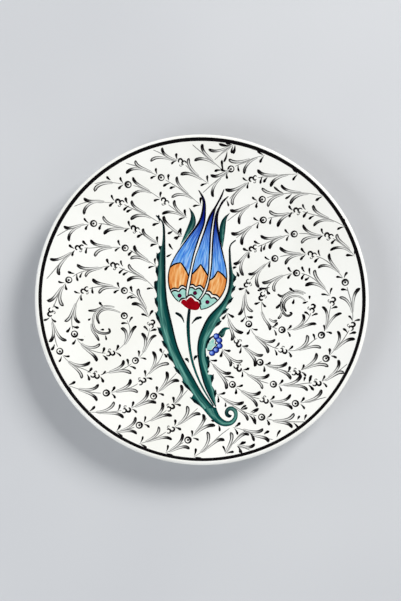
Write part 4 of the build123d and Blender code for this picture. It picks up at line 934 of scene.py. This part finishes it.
def make_tick_from(sheet, vine, mark, ends, side):
    """A tick at a distance along a vine, on one side of it."""
    at, along, left = vine.frame_at(mark)
    jitter = [CHANCE.uniform(-TICK_JITTER, TICK_JITTER) for end in ends]
    tail, head = [at + along * (a + j) + left * side * b for (a, b), j in zip(ends, jitter)]
    make_tick(sheet, tail, head, along * TICK_BOW)


def make_ticks(sheet, vine):
    """The ticks along one vine: a pair at its root and on both sides of its flowers."""
    flowers = [vine.distance_to(x, y) for kind, x, y in vine.flowers]
    leaves = [vine.side_of(head) for head in vine.leaf_heads]
    for side in (-1, 1):
        make_tick_from(sheet, vine, 0.0, TICKS_AT_ROOT, side)
        for flower in flowers:
            behind = [reach for reach, leaf_side in leaves if leaf_side == side and reach < flower]
            last_leaf = max(behind, default=0.0)
            gap = flower - last_leaf
            if gap > ROOM_FOR_TWO:
                make_tick_from(sheet, vine, last_leaf, TICK_BY_LEAF, side)
            if gap > ROOM_FOR_ONE:
                make_tick_from(sheet, vine, flower, TICKS_FAR if gap > ROOM_FOR_TWO else TICKS_BEFORE, side)
            if flower < vine.length - FLOWER_GAP:
                make_tick_from(sheet, vine, flower, TICKS_AFTER, side)


def make_single_tick(sheet, head, tail):
    """A comma that stands between the vines, from its marked head to its marked tail."""
    run = np.array(head) - tail
    bow = np.array([-run[1], run[0]]) * SINGLE_BOW
    make_tick(sheet, tail - run * SINGLE_REACH, head + run * SINGLE_REACH, bow)


def make_rosette(sheet, vine, x, y):
    """Ring with a thick front and a dot inside."""
    along = vine.frame_at(vine.distance_to(x, y))[1]
    ring = circle(x, y, ROSETTE_R, math.atan2(along[1], along[0]))
    stroke(sheet, ring, varied(ROSETTE_WIDTHS), ROSETTE_INK, closed=True)
    dab(sheet, x + along[0] * ROSETTE_DOT_FORWARD, y + along[1] * ROSETTE_DOT_FORWARD, ROSETTE_DOT_R)


def make_trefoil(sheet, vine, x, y):
    """Dark open ring in front, a lighter one behind it and a small one on the left."""
    at, along, left = vine.frame_at(vine.distance_to(x, y))
    front = math.atan2(along[1], along[0])
    for (forwards, sideways), radius, start, drawn, widths, ink in TREFOIL_LOOPS:
        middle = at + along * forwards + left * sideways
        stroke(sheet, circle(*middle, radius, front + start)[:drawn], varied(widths), ink)


def make_curls(sheet, curls):
    """Leaves wound into a spiral's centre, dark at the edges and pale between them."""
    for path in curls:
        stroke(sheet, smooth(path), CURL_WIDTHS, CURL_INK, CURL_MIDDLE, lift=OVER)


def make_scroll(field, vines, curls, single_ticks, material):
    """All the scrollwork on one side of the tulip, as six sheets of strokes."""
    kinds = ("stems", "leaves", "ticks", "rosettes", "trefoils", "curls")
    sheets = {kind: Sheet() for kind in kinds}
    make_flowers = {"rosette": make_rosette, "trefoil": make_trefoil}
    for route, heads in vines:
        vine = Vine(route, heads)
        make_stems(sheets["stems"], vine)
        make_leaves(sheets["leaves"], vine)
        make_ticks(sheets["ticks"], vine)
        for kind, x, y in vine.flowers:
            make_flowers[kind](sheets[kind + "s"], vine, x, y)
    for head, tail in single_ticks:
        make_single_tick(sheets["ticks"], head, tail)
    make_curls(sheets["curls"], curls)
    for kind, sheet in sheets.items():
        sheet.piece(f"scroll_{field}_{kind}", material, "scroll_ink")


# ---- materials
def linear(channel):
    """Linear strength of an everyday 0 to 255 channel."""
    share = channel / 255
    return share / 12.92 if channel <= 10 else ((share + 0.055) / 1.055) ** 2.4


def srgb(r, g, b):
    """Linear colour of an everyday 0 to 255 colour."""
    return (linear(r), linear(g), linear(b), 1.0)


class Paint:
    """The node tree of one material."""

    def __init__(self, name):
        self.material = bpy.data.materials.new(name)
        self.material.use_nodes = True
        self.tree = self.material.node_tree
        self.tree.nodes.clear()
        self.place = self.node("ShaderNodeTexCoord").outputs["Object"]

    def node(self, kind, inputs=(), **settings):
        """A node with its settings, and its inputs as (socket, value or link)."""
        made = self.tree.nodes.new(kind)
        for key, value in settings.items():
            setattr(made, key, value)
        for socket, value in inputs:
            if isinstance(value, bpy.types.NodeSocket):
                self.tree.links.new(value, made.inputs[socket])
            else:
                made.inputs[socket].default_value = value
        return made

    def read(self, name):
        """A number stored at the mesh's points."""
        return self.node("ShaderNodeAttribute", attribute_name=name).outputs["Fac"]

    def maths(self, operation, *values):
        return self.node("ShaderNodeMath", list(enumerate(values)), operation=operation).outputs[0]

    def vector(self, x, y, z=0.0):
        return self.node("ShaderNodeCombineXYZ", [(0, x), (1, y), (2, z)]).outputs[0]

    def noise(self, vector, scale, detail=2.0):
        """Noise between 0 and 1, around a half."""
        inputs = [("Vector", vector), ("Scale", scale), ("Detail", detail)]
        return self.node("ShaderNodeTexNoise", inputs).outputs["Fac"]

    def between(self, value, low, high, out_low=0.0, out_high=1.0):
        """A value stretched from one range to another, and held inside it."""
        inputs = [(0, value), (1, low), (2, high), (3, out_low), (4, out_high)]
        return self.node("ShaderNodeMapRange", inputs).outputs[0]

    def ramp(self, value, *stops):
        """Colour by value, from (place, colour) stops."""
        made = self.node("ShaderNodeValToRGB", [(0, value)])
        elements = made.color_ramp.elements
        elements.remove(elements[1])
        elements[0].position, elements[0].color = stops[0]
        for place, colour in stops[1:]:
            elements.new(place).color = colour
        return made.outputs[0]

    def mix(self, factor, first, second):
        made = self.node("ShaderNodeMix", [(0, factor), (6, first), (7, second)], data_type="RGBA")
        return made.outputs[2]

    def glazed(self, colour, rough=None):
        """Finishes the material under the plate's clear glaze, with its slight waviness."""
        wave = self.noise(self.place, 34.0, 3.0)
        peel = self.noise(self.place, 420.0, 2.0)
        relief = self.maths("ADD", wave, self.maths("MULTIPLY", peel, 0.06))
        bump = self.node("ShaderNodeBump", [("Strength", 0.22), ("Distance", 0.0012), ("Height", relief)])
        gloss = self.between(self.noise(self.place, 60.0), 0.3, 0.7, 0.09, 0.17) if rough is None else rough
        shader = self.node("ShaderNodeBsdfPrincipled", [
            ("Base Color", colour), ("Roughness", gloss), ("IOR", 1.5), ("Normal", bump.outputs[0])])
        self.node("ShaderNodeOutputMaterial", [("Surface", shader.outputs[0])])
        return self.material


WHITE = srgb(247, 247, 243)
WHITE_SHADE = srgb(240, 240, 234)
BLACK = srgb(12, 10, 12)
IRON = srgb(120, 105, 90)
SPECKS_PER_METRE = 190.0
SPECK_R = 0.055            # of the spacing of the specks
SPECK_SHARE = 0.018        # of the places where a speck could be
SPECK_DENSITY = 0.45
WIPED_FROM, WIPED_TO = 0.0022, 0.0015   # metres above the table: glazed above, bare below
SHEEN, BARE_ROUGHNESS = 0.14, 0.85


def white_glaze():
    """White slip under clear glaze: cloudy warm whites and a few specks of iron."""
    paint = Paint("white_glaze")
    cloud = paint.between(paint.noise(paint.place, 16.0, 4.0), 0.35, 0.65)
    white = paint.mix(cloud, WHITE_SHADE, WHITE)
    specks = paint.node("ShaderNodeTexVoronoi", [("Vector", paint.place), ("Scale", SPECKS_PER_METRE)])
    near = paint.maths("LESS_THAN", specks.outputs["Distance"], SPECK_R)
    chosen = paint.node("ShaderNodeSeparateColor", [(0, specks.outputs["Color"])]).outputs[0]
    rare = paint.maths("LESS_THAN", chosen, SPECK_SHARE)
    speck = paint.maths("MULTIPLY", paint.maths("MULTIPLY", near, rare), SPECK_DENSITY)
    return paint.glazed(paint.mix(speck, white, IRON))


def bare_clay():
    """Foot ring: glazed on its sides, wiped bare where it stands, along a wavering line."""
    paint = Paint("fired_clay")
    z = paint.node("ShaderNodeSeparateXYZ", [(0, paint.place)]).outputs[2]
    wander = paint.noise(paint.place, 45.0, 3.0)
    height = paint.maths("ADD", z, paint.between(wander, 0.3, 0.7, -0.0005, 0.0005))
    bare = paint.between(height, WIPED_FROM, WIPED_TO)
    grain = paint.noise(paint.place, 900.0, 4.0)
    clay = paint.ramp(grain, (0.3, srgb(196, 172, 142)), (0.7, srgb(228, 210, 184)))
    colour = paint.mix(bare, WHITE_SHADE, clay)
    return paint.glazed(colour, paint.between(bare, 0.0, 1.0, SHEEN, BARE_ROUGHNESS))


def scroll_ink(name="scroll_ink", dark=BLACK):
    """Thinned ink: each stroke as dense as its brush load, a little uneven."""
    paint = Paint(name)
    grain = paint.between(paint.noise(paint.place, 900.0, 3.0), 0.3, 0.7, 0.92, 1.15)
    density = paint.between(paint.maths("MULTIPLY", paint.read("ink"), grain), 0.0, 0.95)
    bare = paint.maths("POWER", paint.maths("SUBTRACT", 1.0, density), 2.0)
    return paint.glazed(paint.mix(bare, dark, WHITE))


def streaked(paint, fine, breaks):
    """Brush streaks that run along a blade: how fine they are, and how often they break."""
    flow = paint.vector(paint.maths("MULTIPLY", paint.read("across"), fine),
                        paint.maths("MULTIPLY", paint.read("along"), breaks))
    return paint.noise(flow, 1.0, 4.0)


def petal_blue():
    """Cobalt: navy at the tip, brushed out to pale streaks lower down."""
    paint = Paint("cobalt_blue")
    along = paint.read("along")
    body = paint.ramp(along, (0.0, srgb(3, 4, 66)), (0.24, srgb(4, 18, 122)), (0.38, srgb(24, 96, 200)),
                      (0.55, srgb(84, 158, 228)), (0.75, srgb(126, 186, 238)))
    dark = paint.ramp(along, (0.0, srgb(2, 2, 56)), (0.3, srgb(4, 32, 146)), (0.55, srgb(26, 96, 206)))
    streak = paint.between(streaked(paint, 5.0, 5.4), 0.36, 0.62)
    colour = paint.mix(streak, dark, body)
    pale = paint.between(streaked(paint, 7.0, 7.2), 0.46, 0.64, 0.0, 0.8)
    reach = paint.between(along, 0.25, 0.55)
    colour = paint.mix(paint.maths("MULTIPLY", pale, reach), colour, srgb(172, 210, 246))
    return paint.glazed(colour)


def petal_amber():
    """Amber with darker brush marks towards the edges."""
    paint = Paint("amber")
    streak = paint.between(streaked(paint, 4.2, 6.6), 0.34, 0.64)
    edge = paint.between(paint.maths("ABSOLUTE", paint.read("across")), 0.45, 0.95, 0.0, 0.6)
    tone = paint.between(paint.maths("SUBTRACT", streak, edge), 0.0, 1.0)
    return paint.glazed(paint.ramp(tone, (0.0, srgb(206, 116, 48)), (0.4, srgb(230, 158, 88)),
                                   (1.0, srgb(246, 208, 152))))


def pale_turquoise():
    """Thin turquoise wash, uneven where it pooled."""
    paint = Paint("turquoise")
    pool = paint.between(paint.noise(paint.place, 260.0, 3.0), 0.3, 0.7)
    return paint.glazed(paint.mix(pool, srgb(128, 190, 178), srgb(182, 222, 212)))


def coral_red():
    """Thick red bole, slightly uneven."""
    paint = Paint("coral_red")
    pool = paint.between(paint.noise(paint.place, 300.0, 3.0), 0.3, 0.7)
    return paint.glazed(paint.mix(pool, srgb(122, 0, 12), srgb(156, 2, 20)))


def berry_maroon():
    """Maroon dots, darker at their edge."""
    paint = Paint("maroon")
    return paint.glazed(paint.ramp(paint.read("across"), (0.0, srgb(96, 8, 60)), (1.0, srgb(40, 0, 20))))


def berry_blue():
    """Blue berries with a pale middle and a navy edge."""
    paint = Paint("bead_blue")
    return paint.glazed(paint.ramp(
        paint.read("across"), (0.0, srgb(176, 200, 246)), (0.3, srgb(112, 146, 226)),
        (0.62, srgb(36, 64, 166)), (0.85, srgb(10, 18, 92)), (1.0, srgb(4, 6, 40))))


def leaf_green(name, light_at=-0.25, light=srgb(108, 172, 158), tip_reach=0.42):
    """Green blade: dark edges and tip, a pale streak along it and brush marks between."""
    paint = Paint(name)
    sway = paint.between(streaked(paint, 2.2, 7.2), 0.2, 0.8, -0.25, 0.25)
    across = paint.between(paint.maths("ADD", paint.read("across"), sway), -1.2, 1.2)
    streak = (light_at + 1.2) / 2.4
    blade = paint.ramp(across, (0.1, srgb(0, 28, 32)), (streak - 0.2, srgb(12, 78, 74)), (streak, light),
                       (streak + 0.2, srgb(10, 74, 70)), (0.88, srgb(0, 36, 40)))
    tip = paint.between(paint.read("along"), 0.05, tip_reach)
    fine = paint.between(streaked(paint, 4.0, 7.2), 0.4, 0.6, 0.0, 0.75)
    brushed = paint.mix(fine, blade, srgb(6, 72, 70))
    return paint.glazed(paint.mix(tip, srgb(0, 22, 28), brushed))


# ---- the plate
make_pottery()
make_band(scroll_ink("black_band", srgb(10, 8, 10)))
make_flower()
make_leaves_of_tulip()
ink = scroll_ink()
make_scroll("left", LEFT_VINES, LEFT_CURLS, LEFT_TICKS, ink)
make_scroll("right", RIGHT_VINES, RIGHT_CURLS, RIGHT_TICKS, ink)


# ---- the setting
VIEW_TILT = math.radians(8.739)       # camera away from straight above
VIEW_HEADING = math.radians(11.899)   # towards the lower left of the plate
VIEW_DISTANCE = 1.1
VIEW_TARGET = Vector((0, 0, 0.022))    # between the centre of the face and the lip
LENS = 73.1                           # on a 36 mm film as high as the picture
SHIFT = (-0.00308, -0.00519)          # of the picture's height
FLOOR_REACH = 6.0

WORLD_STRENGTH = 0.83
WALL_TO_CEILING = ((0.6, (0.95, 0.97, 1.0, 1)), (0.8, (0.05, 0.05, 0.05, 1)))


def make_camera():
    """Camera almost straight above, the tulip's tips up in the picture."""
    away = Vector((-math.sin(VIEW_HEADING) * math.sin(VIEW_TILT),
                   -math.cos(VIEW_HEADING) * math.sin(VIEW_TILT), math.cos(VIEW_TILT)))
    right = Vector((0, 1, 0)).cross(away).normalized()
    up = away.cross(right)
    camera = bpy.data.objects.new("camera", bpy.data.cameras.new("camera"))
    turned = Matrix((right, up, away)).transposed().to_4x4()
    camera.matrix_world = Matrix.Translation(VIEW_TARGET + away * VIEW_DISTANCE) @ turned
    camera.data.lens = LENS
    camera.data.sensor_width = 36
    camera.data.shift_x, camera.data.shift_y = SHIFT
    camera.data.clip_start, camera.data.clip_end = 0.01, 50
    bpy.context.scene.collection.objects.link(camera)
    bpy.context.scene.camera = camera


def make_light(name, place, size, power, colour):
    """Soft square lamp aimed at the plate."""
    lamp = bpy.data.lights.new(name, "AREA")
    lamp.size, lamp.energy, lamp.color = size, power, colour
    light = bpy.data.objects.new(name, lamp)
    light.location = place
    light.rotation_euler = (VIEW_TARGET - Vector(place)).to_track_quat("-Z", "Y").to_euler()
    bpy.context.scene.collection.objects.link(light)


def make_floor():
    """Plain pale floor, a little greyer than the plate."""
    paint = Paint("floor")
    cloud = paint.between(paint.noise(paint.place, 3.0), 0.3, 0.7)
    colour = paint.mix(cloud, srgb(196, 198, 202), srgb(204, 206, 209))
    shader = paint.node("ShaderNodeBsdfPrincipled", [("Base Color", colour), ("Roughness", 0.75)])
    paint.node("ShaderNodeOutputMaterial", [("Surface", shader.outputs[0])])
    mesh = bpy.data.meshes.new("floor")
    corners = [(x * FLOOR_REACH, y * FLOOR_REACH, 0) for x, y in ((-1, -1), (1, -1), (1, 1), (-1, 1))]
    mesh.from_pydata(corners, [], [(0, 1, 2, 3)])
    mesh.materials.append(paint.material)
    floor = bpy.data.objects.new("floor", mesh)
    bpy.context.scene.collection.objects.link(floor)


def make_world():
    """Pale walls and a dark ceiling, so that the glaze mirrors little of it."""
    world = bpy.data.worlds.new("surroundings")
    world.use_nodes = True
    nodes, links = world.node_tree.nodes, world.node_tree.links
    way = nodes.new("ShaderNodeTexCoord")
    parts = nodes.new("ShaderNodeSeparateXYZ")
    fade = nodes.new("ShaderNodeValToRGB")
    for element, (rise, colour) in zip(fade.color_ramp.elements, WALL_TO_CEILING):
        element.position, element.color = rise, colour
    background = nodes["Background"]
    background.inputs["Strength"].default_value = WORLD_STRENGTH
    links.new(way.outputs["Generated"], parts.inputs[0])
    links.new(parts.outputs[2], fade.inputs[0])
    links.new(fade.outputs[0], background.inputs["Color"])
    bpy.context.scene.world = world


make_camera()
make_floor()
make_world()
make_light("key", (1.5, 1.3, 1.7), 1.1, 56.0, (1.0, 0.985, 0.96))
make_light("fill", (-1.5, -1.0, 1.5), 1.1, 18.0, (0.94, 0.97, 1.0))
bpy.context.scene.view_settings.view_transform = "Standard"
